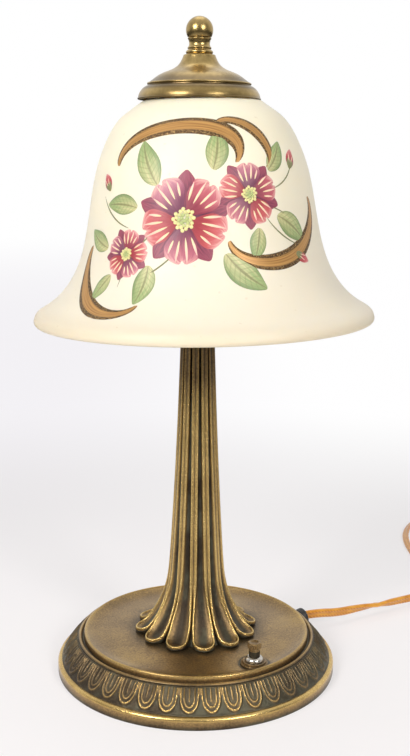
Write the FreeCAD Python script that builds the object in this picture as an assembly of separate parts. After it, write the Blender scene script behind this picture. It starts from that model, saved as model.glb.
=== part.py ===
"""Table lamp with a bell-shaped glass shade on a fluted brass column, in millimetres.

The origin is the centre of the foot on the table, and +Z goes up through the lamp.
-Y is the side that carries the rotary switch, a little to the right of the middle.
"""
import FreeCAD, Part
import math
import os
from FreeCAD import Vector

os.makedirs("parts", exist_ok=True)

UP = Vector(0, 0, 1)
TURN = 2 * math.pi

# Clearances
press_gap = 0.05         # radial, between pieces that are screwed or pushed together
running_gap = 0.08       # radial, a piece that turns on a pin or in a bush
soft_gap = 0.3           # between curved faces of pieces that move apart

# Foot: a round brass casting, hollow below
rim_outer_radius = 88.6
bead_step = 5.0          # from the rim out to the border's upper edge
border_run = 12.8
band_step = 3.1          # from the border's lower edge out to the band
foot_band_height = 9.2
foot_band_round = 2.6
border_high_height = 25.3
border_swell = 0.7
outer_bead_radius = 1.3
groove_height = 26.0
rim_height = 30.9
rim_width = 2.2
dish_low_height = 28.0
dish_fall_run = 13.6     # from the rim in to the lowest ring of the dish
dish_rise_run = 26.0     # from there in to the flat middle
dish_centre_height = 30.2
foot_wall = 3.0
foot_skirt_wall = 4.2
board_thickness = 1.6
felt_thickness = 1.2

# Column: a hollow brass casting with flutes that run out into petals on the foot
flute_count = 12
flute_phase = -81.0      # degrees from +X to the middle of one flute
column_top_height = 270.0
column_top_radius = 12.4
column_taper = 0.0465    # gain in radius for each millimetre downwards
column_straight_height = 72.0
flute_depth_share = 0.12
flute_half_angle = 8.5
petal_tip_radius = 50.5
petal_half_angle = 11.6
petal_notch_radius = 35.0
petal_tip_height = 33.2
column_top_bore = 8.0
column_low_bore = 13.5
column_foot_bore = 26.0

# Threaded pipe through the column, and what it clamps
pipe_radius = 5.15
pipe_bore = 3.5
pipe_below_dish = 8.2
nut_across_flats = 16.0
nut_thickness = 4.0
washer_radius = 11.0
washer_thickness = 1.4
neck_ring_radius = 14.0
neck_ring_thickness = 3.2

# Harp: a wire bow that carries the shade
saddle_half_width = 24.0
saddle_depth = 14.0
saddle_thickness = 1.6
saddle_arm_height = 8.4
saddle_arm_depth = 5.0
harp_wire = 2.0
harp_leg = 25.0
harp_waist = 46.0
harp_height = 150.0
harp_crown_half = 11.0
harp_crown_depth = 9.0
harp_crown_thickness = 3.0
sleeve_radius = 4.6
sleeve_wall = 0.9
sleeve_length = 14.0

# Stud on the harp, the plate that the glass stands on, and its gasket
stud_radius = 3.15
stud_collar_radius = 8.0
stud_collar_height = 2.4
stud_in_finial = 8.0
plate_radius = 33.0
plate_thickness = 1.5
plate_vent_radius = 4.0
plate_vent_ring = 18.0
plate_vent_count = 6
gasket_thickness = 1.5
gasket_width = 5.0

# Lamp socket
socket_cap_radius = 17.5
socket_cap_height = 17.0
socket_hub_radius = 8.0
socket_hub_height = 7.0
socket_wall = 0.6
socket_shell_radius = 18.4
socket_shell_height = 45.0
liner_wall = 0.8
socket_body_radius = 15.2
socket_body_height = 20.0
screw_shell_height = 27.0
screw_shell_wall = 0.4
terminal_radius = 2.6
terminal_length = 2.0

# Bulb
bulb_base_radius = 13.0
bulb_base_height = 25.0
bulb_base_wall = 0.5
bulb_radius = 27.0
bulb_neck_radius = 14.5
bulb_length = 106.0
bulb_wall = 0.8
bulb_tip_radius = 4.0
bulb_tip_height = 2.2

# Glass shade
shade_rim_radius = 127.0
shade_rim_below_seat = 158.1
shade_wall = 3.0
shade_lip = 2.6
shade_hole_radius = 27.0
shade_shoulder_radius = 43.8
shade_shoulder_drop = 1.8
shade_crown_radius = 35.0

# Spun brass cap over the shade, and the turned finial
cap_rim_radius = 44.7
cap_skirt_height = 10.0
cap_step_radius = 37.5
cap_step_height = 11.5
cap_height = 31.6
cap_neck_radius = 11.5
cap_wall = 1.2
finial_foot_radius = 9.7
finial_foot_height = 3.6
finial_neck_radius = 7.5
finial_ring_radius = 8.4
finial_ball_radius = 9.8
finial_ball_height = 17.1

# Rotary switch, through the dish in front of the column
switch_ring_radius = 74.9
switch_angle = -54.2
switch_boss_radius = 13.0
switch_seat_height = 24.0
switch_body_side = 20.0
switch_body_height = 13.5
switch_neck_radius = 4.2
switch_neck_top = 38.2
flange_radius = 10.3
flange_low_thickness = 1.5
flange_high_radius = 9.0
flange_high_thickness = 1.5
switch_nut_radius = 6.3
switch_nut_height = 3.6
shaft_radius = 1.5
knob_radius = 5.0
knob_height = 6.9
knob_grips = 20
knob_grip_depth = 0.35
knob_chamfer = 0.7
knob_dish = 0.9
knob_roof = 2.0          # solid metal above the shaft
knob_press_gap = 0.02

# Flat twin cord, its gland through the border and its plug
cord_width = 6.6
gland_angle = 27.0
gland_height = 19.0
gland_slope = 14.0       # degrees by which the cord rises where it leaves
gland_radius = 7.2
gland_neck_radius = 5.2
gland_out = 4.2
gland_in = 9.0
coil_x = 292.0
coil_y = 290.0
coil_outer_radius = 47.5
coil_pitch = 7.1
coil_turns_per_layer = 2.5
tail_length = 26.0
tie_thickness = 0.8
tie_width = 7.0
plug_length = 27.0
plug_thickness = 14.0
blade_length = 16.0
blade_width = 6.35
blade_thickness = 1.5
blade_pitch = 12.7
wire_radius = 1.8


# Helpers

class Outline:
    """A closed outline in the half plane y = 0, walked point by point and spun about Z."""

    def __init__(self, r, z):
        self.first = Vector(r, 0, z)
        self.last = self.first
        self.edges = []

    def line(self, r, z):
        point = Vector(r, 0, z)
        self.edges.append(Part.makeLine(self.last, point))
        self.last = point
        return self

    def arc(self, mid, end):
        """An arc through mid to end, each given as (r, z)."""
        middle = Vector(mid[0], 0, mid[1])
        point = Vector(end[0], 0, end[1])
        self.edges.append(Part.Arc(self.last, middle, point).toShape())
        self.last = point
        return self

    def curve(self, points):
        """A smooth curve through points, each given as (r, z)."""
        through = [self.last] + [Vector(r, 0, z) for r, z in points]
        spline = Part.BSplineCurve()
        spline.interpolate(through)
        self.edges.append(spline.toShape())
        self.last = through[-1]
        return self

    def spin(self):
        if self.last.distanceToPoint(self.first) > 1e-6:
            self.line(self.first.x, self.first.z)
        face = Part.Face(Part.Wire(self.edges))
        return face.revolve(Vector(0, 0, 0), UP, 360)


def rod(radius, low, high, x=0.0, y=0.0):
    return Part.makeCylinder(radius, high - low, Vector(x, y, low))


def tube(outer, inner, low, high, x=0.0, y=0.0):
    return rod(outer, low, high, x, y).cut(rod(inner, low - 1, high + 1, x, y))


def block(x_size, y_size, low, high, x=0.0, y=0.0):
    corner = Vector(x - x_size / 2, y - y_size / 2, low)
    return Part.makeBox(x_size, y_size, high - low, corner)


def hexagon(across_flats, low, high):
    corner = across_flats / 2 / math.cos(math.radians(30))
    points = []
    for k in range(7):
        angle = math.radians(60 * k)
        points.append(Vector(corner * math.cos(angle), corner * math.sin(angle), low))
    return Part.Face(Part.makePolygon(points)).extrude(Vector(0, 0, high - low))


def around(shape, count, start=0.0):
    """Copies of a shape, evenly spaced about the Z axis."""
    copies = []
    for k in range(count):
        copy = shape.copy()
        copy.rotate(Vector(0, 0, 0), UP, start + 360.0 * k / count)
        copies.append(copy)
    return copies


def polar(radius, degrees, z):
    angle = math.radians(degrees)
    return Vector(radius * math.cos(angle), radius * math.sin(angle), z)


def rounded_route(points, share=0.45):
    """Straight runs joined by tangent arcs, each as large as the two runs beside it allow."""
    edges = []
    radii = []
    here = points[0]
    for before, corner, after in zip(points, points[1:], points[2:]):
        back = (before - corner).normalize()
        ahead = (after - corner).normalize()
        half_turn = (math.pi - back.getAngle(ahead)) / 2
        shorter = min(before.distanceToPoint(corner), after.distanceToPoint(corner))
        cut = share * shorter
        radius = cut / math.tan(half_turn)
        start = corner + back * cut
        end = corner + ahead * cut
        inward = (back + ahead).normalize()
        middle = corner + inward * (radius / math.cos(half_turn) - radius)
        edges.append(Part.LineSegment(here, start).toShape())
        edges.append(Part.Arc(start, middle, end).toShape())
        radii.append(radius)
        here = end
    edges.append(Part.LineSegment(here, points[-1]).toShape())
    return Part.Wire(edges), radii


def arc_from(start, direction, end):
    """The arc that leaves start along direction and ends at end."""
    chord = end - start
    side = chord - direction * chord.dot(direction)
    side.normalize()
    radius = chord.Length ** 2 / (2 * chord.dot(side))
    centre = start + side * radius
    outward = (start + end) * 0.5 - centre
    outward.normalize()
    return Part.Arc(start, centre + outward * radius, end).toShape()


def biarc(start, start_direction, end, end_direction):
    """Two arcs that join start to end smoothly, along the direction given at each."""
    chord = end - start
    both = start_direction + end_direction
    unlike = 2 * (1 - start_direction.dot(end_direction))
    along = chord.dot(both)
    reach = (math.sqrt(along ** 2 + unlike * chord.dot(chord)) - along) / unlike
    joint = (start + end + (start_direction - end_direction) * reach) * 0.5
    first = arc_from(start, start_direction, joint)
    second = arc_from(end, end_direction * -1, joint)
    return [first, second]


def round_pipe(path, radius):
    """A round solid of the given radius along a smooth wire."""
    start = path.OrderedEdges[0]
    point = start.valueAt(start.FirstParameter)
    heading = start.tangentAt(start.FirstParameter)
    section = Part.Wire([Part.makeCircle(radius, point, heading)])
    return path.makePipeShell([section], True, False)


# Radii and heights that follow from the sizes above

border_high_radius = rim_outer_radius + bead_step
border_low_radius = border_high_radius + border_run
foot_radius = border_low_radius + band_step
dish_low_radius = rim_outer_radius - dish_fall_run
dish_flat_radius = dish_low_radius - dish_rise_run
underside = dish_centre_height - foot_wall
neck_ring_top = column_top_height + neck_ring_thickness
saddle_top = neck_ring_top + saddle_thickness
arm_top = saddle_top + saddle_arm_height
harp_top = arm_top + harp_height
collar_top = harp_top + stud_collar_height
plate_top = collar_top + plate_thickness
glass_seat = plate_top + gasket_thickness
glass_top = glass_seat + shade_wall
shade_rim_height = glass_seat - shade_rim_below_seat
cap_rim_height = glass_seat - 0.6
cap_top = cap_rim_height + cap_height
socket_low = saddle_top
shell_low = socket_low + socket_cap_height - 2.0
body_low = socket_low + socket_hub_height + 4.0
body_top = body_low + socket_body_height
shell_top = shell_low + socket_shell_height
bulb_low = body_top + 1.2 + bulb_tip_height
screw_shell_radius = bulb_base_radius + soft_gap
pipe_top = socket_low + socket_hub_height + 1.0
pipe_low = underside - pipe_below_dish
felt_radius = foot_radius - foot_skirt_wall
switch_place = polar(switch_ring_radius, switch_angle, 0)


# Foot

def border_radius(z):
    """Radius of the sloping border's outer face at height z, without its swell."""
    share = (z - foot_band_height) / (border_high_height - foot_band_height)
    return border_low_radius + share * (border_high_radius - border_low_radius)


def gland_axis():
    rise = math.radians(gland_slope)
    flat = polar(math.cos(rise), gland_angle, 0)
    return flat + UP * math.sin(rise)


def gland_centre():
    return polar(border_radius(gland_height), gland_angle, gland_height)


def along_gland(radius, start, length):
    """A cylinder on the gland's axis, measured outwards from the border."""
    axis = gland_axis()
    return Part.makeCylinder(radius, length, gland_centre() + axis * start, axis)


def base_casting():
    bead = border_high_radius - 0.4 - outer_bead_radius
    groove_outer = bead - outer_bead_radius
    groove_inner = rim_outer_radius + 0.3
    rim_inner = rim_outer_radius - rim_width
    hole = pipe_radius + soft_gap
    inner_high = border_high_radius - foot_wall
    inner_low = border_low_radius - foot_wall
    rise_mid = (rim_inner + dish_low_radius) / 2 + 1.0
    cone_mid = (border_low_radius + border_high_radius) / 2 + border_swell
    cone_mid_height = (foot_band_height + border_high_height) / 2 + border_swell
    shoulder = foot_radius - foot_band_round
    corner = foot_band_round * (1 - math.sqrt(0.5))
    outline = Outline(felt_radius, 0)
    outline.line(foot_radius, 0)
    outline.line(foot_radius, foot_band_height - foot_band_round)
    outline.arc(
        (foot_radius - corner, foot_band_height - corner),
        (shoulder, foot_band_height),
    )
    outline.line(border_low_radius, foot_band_height)
    outline.arc((cone_mid, cone_mid_height), (border_high_radius, border_high_height))
    outline.line(bead + outer_bead_radius, groove_height)
    outline.arc((bead, groove_height + outer_bead_radius), (groove_outer, groove_height))
    outline.line(groove_inner, groove_height)
    outline.line(rim_outer_radius, rim_height - rim_width / 2)
    outline.arc(
        (rim_outer_radius - rim_width / 2, rim_height),
        (rim_inner, rim_height - 0.5),
    )
    outline.arc(
        (rise_mid, dish_low_height + 0.6),
        (dish_low_radius, dish_low_height),
    )
    outline.line(dish_flat_radius, dish_centre_height)
    outline.line(hole, dish_centre_height)
    outline.line(hole, underside)
    outline.line(dish_flat_radius, underside)
    outline.line(dish_low_radius, dish_low_height - foot_wall)
    outline.line(rim_inner - 0.5, groove_height - foot_wall - 0.4)
    outline.line(inner_high, groove_height - foot_wall - 0.4)
    outline.line(inner_low, foot_band_height - 0.8)
    outline.line(inner_low, board_thickness + felt_thickness)
    outline.line(felt_radius, board_thickness + felt_thickness)
    casting = outline.spin()
    x, y = switch_place.x, switch_place.y
    casting = casting.fuse(rod(switch_boss_radius, switch_seat_height, dish_low_height, x, y))
    spot_face = rod(flange_radius + soft_gap, dish_low_height, rim_height + 1, x, y)
    neck_hole = rod(switch_neck_radius + 0.2, 0, rim_height, x, y)
    pocket = block(
        switch_body_side + 2 * soft_gap,
        switch_body_side + 2 * soft_gap,
        0,
        switch_seat_height,
        switch_ring_radius,
    )
    pocket.rotate(Vector(0, 0, 0), UP, switch_angle)
    gland_hole = along_gland(gland_neck_radius + press_gap, -gland_in - 1, gland_in + 12)
    gland_seat = along_gland(gland_radius + press_gap, -2.0, 14)
    return casting.cut([spot_face, neck_hole, pocket, gland_hole, gland_seat])


def base_board():
    low = felt_thickness
    return rod(felt_radius - 0.4, low, low + board_thickness)


def base_felt():
    return rod(felt_radius - 0.4, 0, felt_thickness)


# Column

def column_radius(z):
    return column_top_radius + column_taper * (column_top_height - z)


def fluted_ring(z, edge, flute, rib, half_angle):
    """One closed section: an arc in each flute, to radius flute, and one on each rib."""
    step = 360.0 / flute_count
    edges = []
    for k in range(flute_count):
        middle = flute_phase + step * k
        start = polar(edge, middle - half_angle, z)
        end = polar(edge, middle + half_angle, z)
        following = polar(edge, middle + step - half_angle, z)
        edges.append(Part.Arc(start, polar(flute, middle, z), end).toShape())
        edges.append(Part.Arc(end, polar(rib, middle + step / 2, z), following).toShape())
    return Part.Wire(edges)


def shaft_ring(z):
    radius = column_radius(z)
    return fluted_ring(z, radius, radius * (1 - flute_depth_share), radius, flute_half_angle)


def petal_ring(share, height):
    """A section of the foot, from the shaft (share 0) out to the petals' tips (share 1)."""
    start = column_radius(column_straight_height)
    tip = petal_tip_radius - start
    edge = start + share * 0.83 * tip
    flute = start * (1 - flute_depth_share) + share * (petal_tip_radius - 0.88 * start)
    rib = start + math.sqrt(share) * (petal_notch_radius - start)
    angle = flute_half_angle + share * (petal_half_angle - flute_half_angle)
    return fluted_ring(height, edge, flute, rib, angle)


def column():
    spread = column_straight_height - petal_tip_height
    rings = [shaft_ring(column_top_height), shaft_ring(column_straight_height + spread)]
    rings.append(petal_ring(0.0, column_straight_height))
    rings.append(petal_ring(0.10, petal_tip_height + 0.62 * spread))
    rings.append(petal_ring(0.30, petal_tip_height + 0.33 * spread))
    rings.append(petal_ring(0.62, petal_tip_height + 0.12 * spread))
    rings.append(petal_ring(1.0, petal_tip_height))
    rings.append(petal_ring(0.86, dish_centre_height))
    body = Part.makeLoft(rings[::-1], True, True)
    hollow = Outline(0, dish_centre_height - 1)
    hollow.line(column_foot_bore, dish_centre_height - 1)
    hollow.line(column_foot_bore, petal_tip_height)
    hollow.line(column_low_bore, column_straight_height)
    hollow.line(column_top_bore, column_top_height - 12)
    hollow.line(column_top_bore, column_top_height + 1)
    hollow.line(0, column_top_height + 1)
    return body.cut(hollow.spin())


def neck_ring():
    low = column_top_height
    mid = low + neck_ring_thickness / 2
    bulge = neck_ring_thickness / 2
    outline = Outline(pipe_radius + press_gap, low)
    outline.line(neck_ring_radius - bulge, low)
    outline.arc((neck_ring_radius, mid), (neck_ring_radius - bulge, neck_ring_top))
    outline.line(pipe_radius + press_gap, neck_ring_top)
    return outline.spin()


def lamp_pipe():
    return tube(pipe_radius, pipe_bore, pipe_low, pipe_top)


def bottom_washer():
    return tube(washer_radius, pipe_radius + press_gap, underside - washer_thickness, underside)


def bottom_nut():
    top = underside - washer_thickness
    bore = rod(pipe_radius + press_gap, top - nut_thickness - 1, top + 1)
    return hexagon(nut_across_flats, top - nut_thickness, top).cut(bore)


# Harp

def harp_saddle():
    strip = block(2 * saddle_half_width, saddle_depth, neck_ring_top, saddle_top)
    pieces = [strip]
    for side in (-1, 1):
        x = side * saddle_half_width
        pieces.append(block(saddle_thickness, saddle_arm_depth, neck_ring_top, arm_top, x))
    return pieces[0].fuse(pieces[1:]).cut(rod(pipe_radius + press_gap, 0, arm_top)).removeSplitter()


def harp():
    knee = arm_top + harp_leg
    crown = harp_top - harp_wire
    half = [
        Vector(saddle_half_width, 0, arm_top),
        Vector(saddle_half_width, 0, knee),
        Vector(harp_waist, 0, knee + 0.31 * harp_height),
        Vector(harp_waist, 0, knee + 0.50 * harp_height),
        Vector(0.62 * harp_waist, 0, knee + 0.73 * harp_height),
        Vector(harp_crown_half + 8, 0, crown),
        Vector(0, 0, crown),
    ]
    wires = []
    for side in (-1, 1):
        points = [Vector(side * p.x, 0, p.z) for p in half]
        path, radii = rounded_route(points)
        wires.append(round_pipe(path, harp_wire))
    crown_bar = block(2 * harp_crown_half, harp_crown_depth, harp_top - harp_crown_thickness, harp_top)
    bow = crown_bar.fuse(wires)
    return bow.cut(rod(stud_radius + press_gap, 0, harp_top + 1)).removeSplitter()


def harp_stud():
    low = harp_top - harp_crown_thickness
    bolt = rod(stud_radius, low, cap_top + stud_in_finial)
    collar = rod(stud_collar_radius, harp_top, collar_top)
    return bolt.fuse(collar).removeSplitter()


def harp_sleeve(side):
    """A ferrule over the joint of the harp's leg and the saddle's arm, which slides up."""
    x = side * saddle_half_width
    return tube(sleeve_radius, sleeve_radius - sleeve_wall, saddle_top, saddle_top + sleeve_length, x)


def shade_plate():
    plate = tube(plate_radius, stud_radius + press_gap, collar_top, plate_top)
    vent = rod(plate_vent_radius, collar_top - 1, plate_top + 1, plate_vent_ring)
    return plate.cut(around(vent, plate_vent_count))


def shade_gasket():
    return tube(plate_radius, plate_radius - gasket_width, plate_top, glass_seat)


# Socket

def socket_cap():
    shoulder = shell_low - 2.0
    outline = Outline(pipe_radius + press_gap, socket_low)
    outline.line(socket_hub_radius, socket_low)
    outline.line(socket_hub_radius, socket_low + socket_hub_height - 2)
    outline.arc(
        (socket_cap_radius - 3.2, socket_low + socket_hub_height + 0.4),
        (socket_cap_radius, shoulder),
    )
    outline.line(socket_cap_radius, socket_low + socket_cap_height)
    outline.line(socket_cap_radius - socket_wall, socket_low + socket_cap_height)
    outline.line(socket_cap_radius - socket_wall, shoulder)
    outline.arc(
        (socket_cap_radius - 3.8, socket_low + socket_hub_height + 1.2),
        (socket_hub_radius - socket_wall, socket_low + socket_hub_height - 1.2),
    )
    outline.line(pipe_radius + press_gap, socket_low + socket_hub_height - 1.2)
    return outline.spin()


def socket_shell():
    return tube(socket_shell_radius, socket_shell_radius - socket_wall, shell_low, shell_top)


def socket_liner():
    outer = socket_cap_radius - socket_wall - press_gap
    return tube(outer, outer - liner_wall, shell_low + 1, shell_top - 1)


def socket_body():
    """The insulating block, with flats where the two terminal screws stand."""
    disc = rod(socket_body_radius, body_low, body_top)
    flats = []
    for side in (-1, 1):
        x = side * (socket_body_radius + 1.2)
        flats.append(block(2 * terminal_length + 2, 9, body_low - 1, body_top - 6, x))
    recess = rod(6.0, body_top - 2, body_top + 1)
    wire_way = rod(wire_radius + press_gap, body_low - 1, body_low + 3)
    return disc.cut(flats + [recess, wire_way])


def screw_shell():
    inner = screw_shell_radius
    return tube(inner + screw_shell_wall, inner, body_top, body_top + screw_shell_height)


def centre_contact():
    """The springy brass tab under the bulb's tip."""
    return block(8.0, 3.0, body_top - 2, body_top + 1.0)


def terminal_screws():
    x = socket_body_radius + 1.2 - terminal_length - 1
    z = body_low + 6
    screws = []
    for side in (-1, 1):
        head = Part.makeCylinder(
            terminal_radius, terminal_length, Vector(side * x, 0, z), Vector(side, 0, 0)
        )
        screws.append(head)
    return Part.makeCompound(screws)


# Bulb

def bulb_base():
    outer = bulb_base_radius
    outline = Outline(bulb_tip_radius + 2, bulb_low)
    outline.line(outer - 3.5, bulb_low)
    outline.line(outer, bulb_low + 3.5)
    outline.line(outer, bulb_low + bulb_base_height)
    outline.line(outer - bulb_base_wall, bulb_low + bulb_base_height)
    outline.line(outer - bulb_base_wall, bulb_low + 3.7)
    outline.line(outer - 3.7, bulb_low + bulb_base_wall)
    outline.line(bulb_tip_radius + 2, bulb_low + bulb_base_wall)
    return outline.spin()


def bulb_tip():
    """The insulated centre contact at the bottom of the bulb."""
    disc = rod(bulb_tip_radius + 2, bulb_low - 0.2, bulb_low + 1.0)
    button = rod(bulb_tip_radius, bulb_low - bulb_tip_height, bulb_low)
    return disc.fuse(button).removeSplitter()


def bulb_outline(shrink):
    """The envelope's profile from the neck to the crown, drawn in by a wall or none."""
    neck_low = bulb_low + bulb_base_height - 4
    neck = bulb_neck_radius - shrink
    throat = bulb_base_radius - bulb_base_wall - press_gap - shrink
    ball = bulb_radius - shrink
    centre = bulb_low + bulb_length - bulb_radius
    touch = math.radians(-38)
    outline = Outline(0, neck_low + shrink)
    outline.line(throat, neck_low + shrink)
    outline.line(throat, neck_low + 4.5)
    outline.line(neck, neck_low + 8)
    outline.line(ball * math.cos(touch), centre + ball * math.sin(touch))
    outline.arc((ball * math.cos(0.6), centre + ball * math.sin(0.6)), (0, centre + ball))
    return outline


def bulb_glass():
    return bulb_outline(0).spin().cut(bulb_outline(bulb_wall).spin())


# Shade, cap and finial

def shade_profile():
    """Points on the outer face from the crown to the rim, as (radius, height)."""
    rim = shade_rim_radius
    depth = glass_top - shade_rim_height
    shares = (
        (0.400, 0.060),
        (0.458, 0.094),
        (0.547, 0.197),
        (0.603, 0.309),
        (0.642, 0.445),
        (0.677, 0.603),
        (0.724, 0.737),
        (0.791, 0.839),
        (0.886, 0.923),
        (1.0, 1.0),
    )
    points = [(shade_shoulder_radius, glass_top - shade_wall - shade_shoulder_drop)]
    for radius_share, depth_share in shares:
        points.append((rim * radius_share, glass_top - depth * depth_share))
    return points


def glass_shade():
    points = shade_profile()
    outer = Part.BSplineCurve()
    crown = Vector(shade_crown_radius, 0, glass_top)
    outer.interpolate([crown] + [Vector(r, 0, z) for r, z in points])
    inner_points = []
    steps = 14
    for k in range(1, steps):
        place = outer.FirstParameter + (outer.LastParameter - outer.FirstParameter) * k / steps
        along = outer.tangent(place)[0]
        inward = Vector(-abs(along.z), 0, -abs(along.x))
        at = outer.value(place) + inward * shade_wall
        inner_points.append((at.x, at.z))
    rim = outer.value(outer.LastParameter)
    lip_inner = (rim.x - 1.7 * shade_lip, rim.z + 0.2 * shade_lip)
    outline = Outline(shade_hole_radius, glass_top)
    outline.line(crown.x, crown.z)
    outline.edges.append(outer.toShape())
    outline.last = rim
    outline.arc((rim.x - 0.85 * shade_lip, rim.z - 0.95 * shade_lip), lip_inner)
    outline.curve(inner_points[::-1] + [(shade_crown_radius - shade_wall / 2, glass_seat)])
    outline.line(shade_hole_radius, glass_seat)
    return outline.spin()


def cap_curve(shrink):
    """The cap's face above its step, as (radius, height), drawn in by a wall or none."""
    low = cap_rim_height + cap_step_height
    rise = cap_height - cap_step_height
    down = 0.8 * shrink
    return [
        (cap_step_radius - 1.2 - shrink, low + 0.3 - down),
        (0.74 * cap_rim_radius - 0.8 * shrink, low + 0.16 * rise - down),
        (0.62 * cap_rim_radius - 0.6 * shrink, low + 0.33 * rise - down),
        (0.47 * cap_rim_radius - 0.4 * shrink, low + 0.46 * rise - down),
        (0.38 * cap_rim_radius - 0.6 * shrink, low + 0.56 * rise - down),
        (0.30 * cap_rim_radius - shrink, low + 0.76 * rise - 0.2 * shrink),
        (cap_neck_radius - shrink, cap_top - shrink),
    ]


def shade_cap():
    low = cap_rim_height
    skirt = low + cap_skirt_height
    step = low + cap_step_height
    wall = cap_wall
    outer = cap_curve(0)
    inner = cap_curve(wall)
    outline = Outline(cap_rim_radius - wall, low)
    outline.line(cap_rim_radius - 0.3, low)
    outline.arc((cap_rim_radius, low + 1.6), (cap_rim_radius - 2.0, low + 0.58 * cap_skirt_height))
    outline.line(cap_step_radius, skirt)
    outline.line(cap_step_radius, step)
    outline.line(outer[0][0], outer[0][1])
    outline.curve(outer[1:])
    outline.line(stud_radius + soft_gap, cap_top)
    outline.line(stud_radius + soft_gap, cap_top - wall)
    outline.line(inner[-1][0], inner[-1][1])
    outline.curve(inner[-2::-1])
    outline.line(cap_step_radius - wall - 0.3, skirt - wall)
    outline.line(cap_rim_radius - 2.0 - wall, low + 0.5 * cap_skirt_height)
    return outline.spin()


def finial():
    low = cap_top
    foot = low + finial_foot_height
    waist = low + 0.5 * finial_ball_height
    ring = low + 0.70 * finial_ball_height
    centre = low + finial_ball_height
    ball = finial_ball_radius
    start = math.radians(-32)
    bore = stud_radius + running_gap
    outline = Outline(bore, low)
    outline.line(finial_foot_radius - 0.8, low)
    outline.arc((finial_foot_radius, low + 0.5 * finial_foot_height), (finial_foot_radius - 0.8, foot))
    outline.arc((finial_neck_radius, waist), (finial_ring_radius - 0.8, ring - 0.6))
    outline.arc((finial_ring_radius, ring), (finial_ring_radius - 0.8, ring + 0.6))
    outline.line(ball * math.cos(start) - 0.1, centre + ball * math.sin(start) - 0.2)
    outline.line(ball * math.cos(start), centre + ball * math.sin(start))
    outline.arc((ball * math.cos(0.5), centre + ball * math.sin(0.5)), (0, centre + ball))
    outline.line(0, low + stud_in_finial + 1.5)
    outline.line(bore, low + stud_in_finial + 0.5)
    return outline.spin()


# Rotary switch

def switch_body():
    low = switch_seat_height - switch_body_height
    case = block(switch_body_side, switch_body_side, low, switch_seat_height, switch_ring_radius)
    case.rotate(Vector(0, 0, 0), UP, switch_angle)
    return case.cut(rod(shaft_radius + 0.1, low + 4, rim_height, switch_place.x, switch_place.y))


def switch_bushing():
    return tube(
        switch_neck_radius,
        shaft_radius + running_gap,
        switch_seat_height,
        switch_neck_top,
        switch_place.x,
        switch_place.y,
    )


def switch_flange():
    bore = switch_neck_radius + press_gap
    low = dish_low_height
    mid = low + flange_low_thickness
    high = mid + flange_high_thickness
    x, y = switch_place.x, switch_place.y
    plate = rod(flange_radius, low, mid, x, y).fuse(rod(flange_high_radius, mid, high, x, y))
    return plate.cut(rod(bore, low - 1, high + 1, x, y)).removeSplitter()


def switch_nut():
    low = dish_low_height + flange_low_thickness + flange_high_thickness
    top = low + switch_nut_height
    crown = switch_neck_radius + 0.6
    bore = switch_neck_radius + press_gap
    outline = Outline(bore, low)
    outline.line(switch_nut_radius, low)
    outline.line(switch_nut_radius, low + 0.8)
    outline.arc((switch_nut_radius - 0.45, top - 1.0), (crown, top))
    outline.line(bore, top)
    nut = outline.spin()
    nut.translate(switch_place)
    return nut


def switch_shaft():
    low = switch_seat_height - switch_body_height + 4.0
    top = switch_neck_top + soft_gap + knob_height - knob_roof
    return rod(shaft_radius, low, top, switch_place.x, switch_place.y)


def switch_knob():
    """A turned knob with a dished top and a ribbed grip, bored for the shaft."""
    low = switch_neck_top + soft_gap
    top = low + knob_height
    core = knob_radius - knob_grip_depth - 0.1
    outline = Outline(0, low)
    outline.line(core - knob_chamfer, low)
    outline.line(core, low + knob_chamfer)
    outline.line(core, top - knob_chamfer)
    outline.line(core - knob_chamfer, top)
    outline.line(core - 2 * knob_chamfer, top)
    outline.arc((0.45 * knob_radius, top - 0.8 * knob_dish), (0, top - knob_dish))
    points = []
    for k in range(2 * knob_grips):
        radius = knob_radius - (k % 2) * knob_grip_depth
        points.append(polar(radius, 180.0 * k / knob_grips, low + knob_chamfer))
    star = Part.Face(Part.makePolygon(points + points[:1]))
    ribs = star.extrude(UP * (knob_height - 2 * knob_chamfer))
    knob = outline.spin().fuse(ribs)
    knob.translate(switch_place)
    bore = rod(shaft_radius + knob_press_gap, low - 1, top - knob_roof, switch_place.x, switch_place.y)
    return knob.cut(bore).removeSplitter()


# Cord, its gland, coil, tie and plug

def cord_gland():
    """A black rubber bush with a domed head outside the border."""
    head = along_gland(gland_radius, -1.9, gland_out + 1.9)
    rim = [edge for edge in head.Edges if edge.Closed]
    far = max(rim, key=lambda edge: edge.CenterOfMass.dot(gland_axis()))
    head = head.makeFillet(0.55 * gland_out, [far])
    neck = along_gland(gland_neck_radius, -gland_in, gland_in)
    return head.fuse(neck).removeSplitter()


def coil_low():
    return cord_width / 2 + tie_thickness + 0.1


def coil_start():
    """Where the coil's first straight end begins, and its heading."""
    place, heading = coil_point(0)
    return place - heading * cord_width, heading


def lead_points():
    """The cord's route over the table, from the gland to the coil, chosen by eye."""
    floor = cord_width / 2
    axis = gland_axis()
    start = gland_centre() + axis * gland_out
    end, heading = coil_start()
    return [
        start,
        start + axis * 12.5,
        Vector(121.0, 64.0, 16.6),
        Vector(143.0, 79.5, 12.0),
        Vector(167.5, 93.0, 9.4),
        Vector(193.0, 110.0, 7.6),
        Vector(218.0, 129.0, 5.4),
        Vector(233.0, 153.0, 4.0),
        Vector(231.5, 181.0, floor),
        Vector(219.5, 208.0, floor),
        Vector(214.5, 239.0, floor),
        Vector(218.0, 273.0, floor),
        Vector(227.5, 307.0, floor),
        Vector(239.5, 341.0, floor),
        Vector(260.0, 367.0, floor),
        Vector(290.0, 378.0, floor),
        Vector(320.5, 364.0, floor + 0.3),
        end - heading * 34,
        end,
    ]


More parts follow.
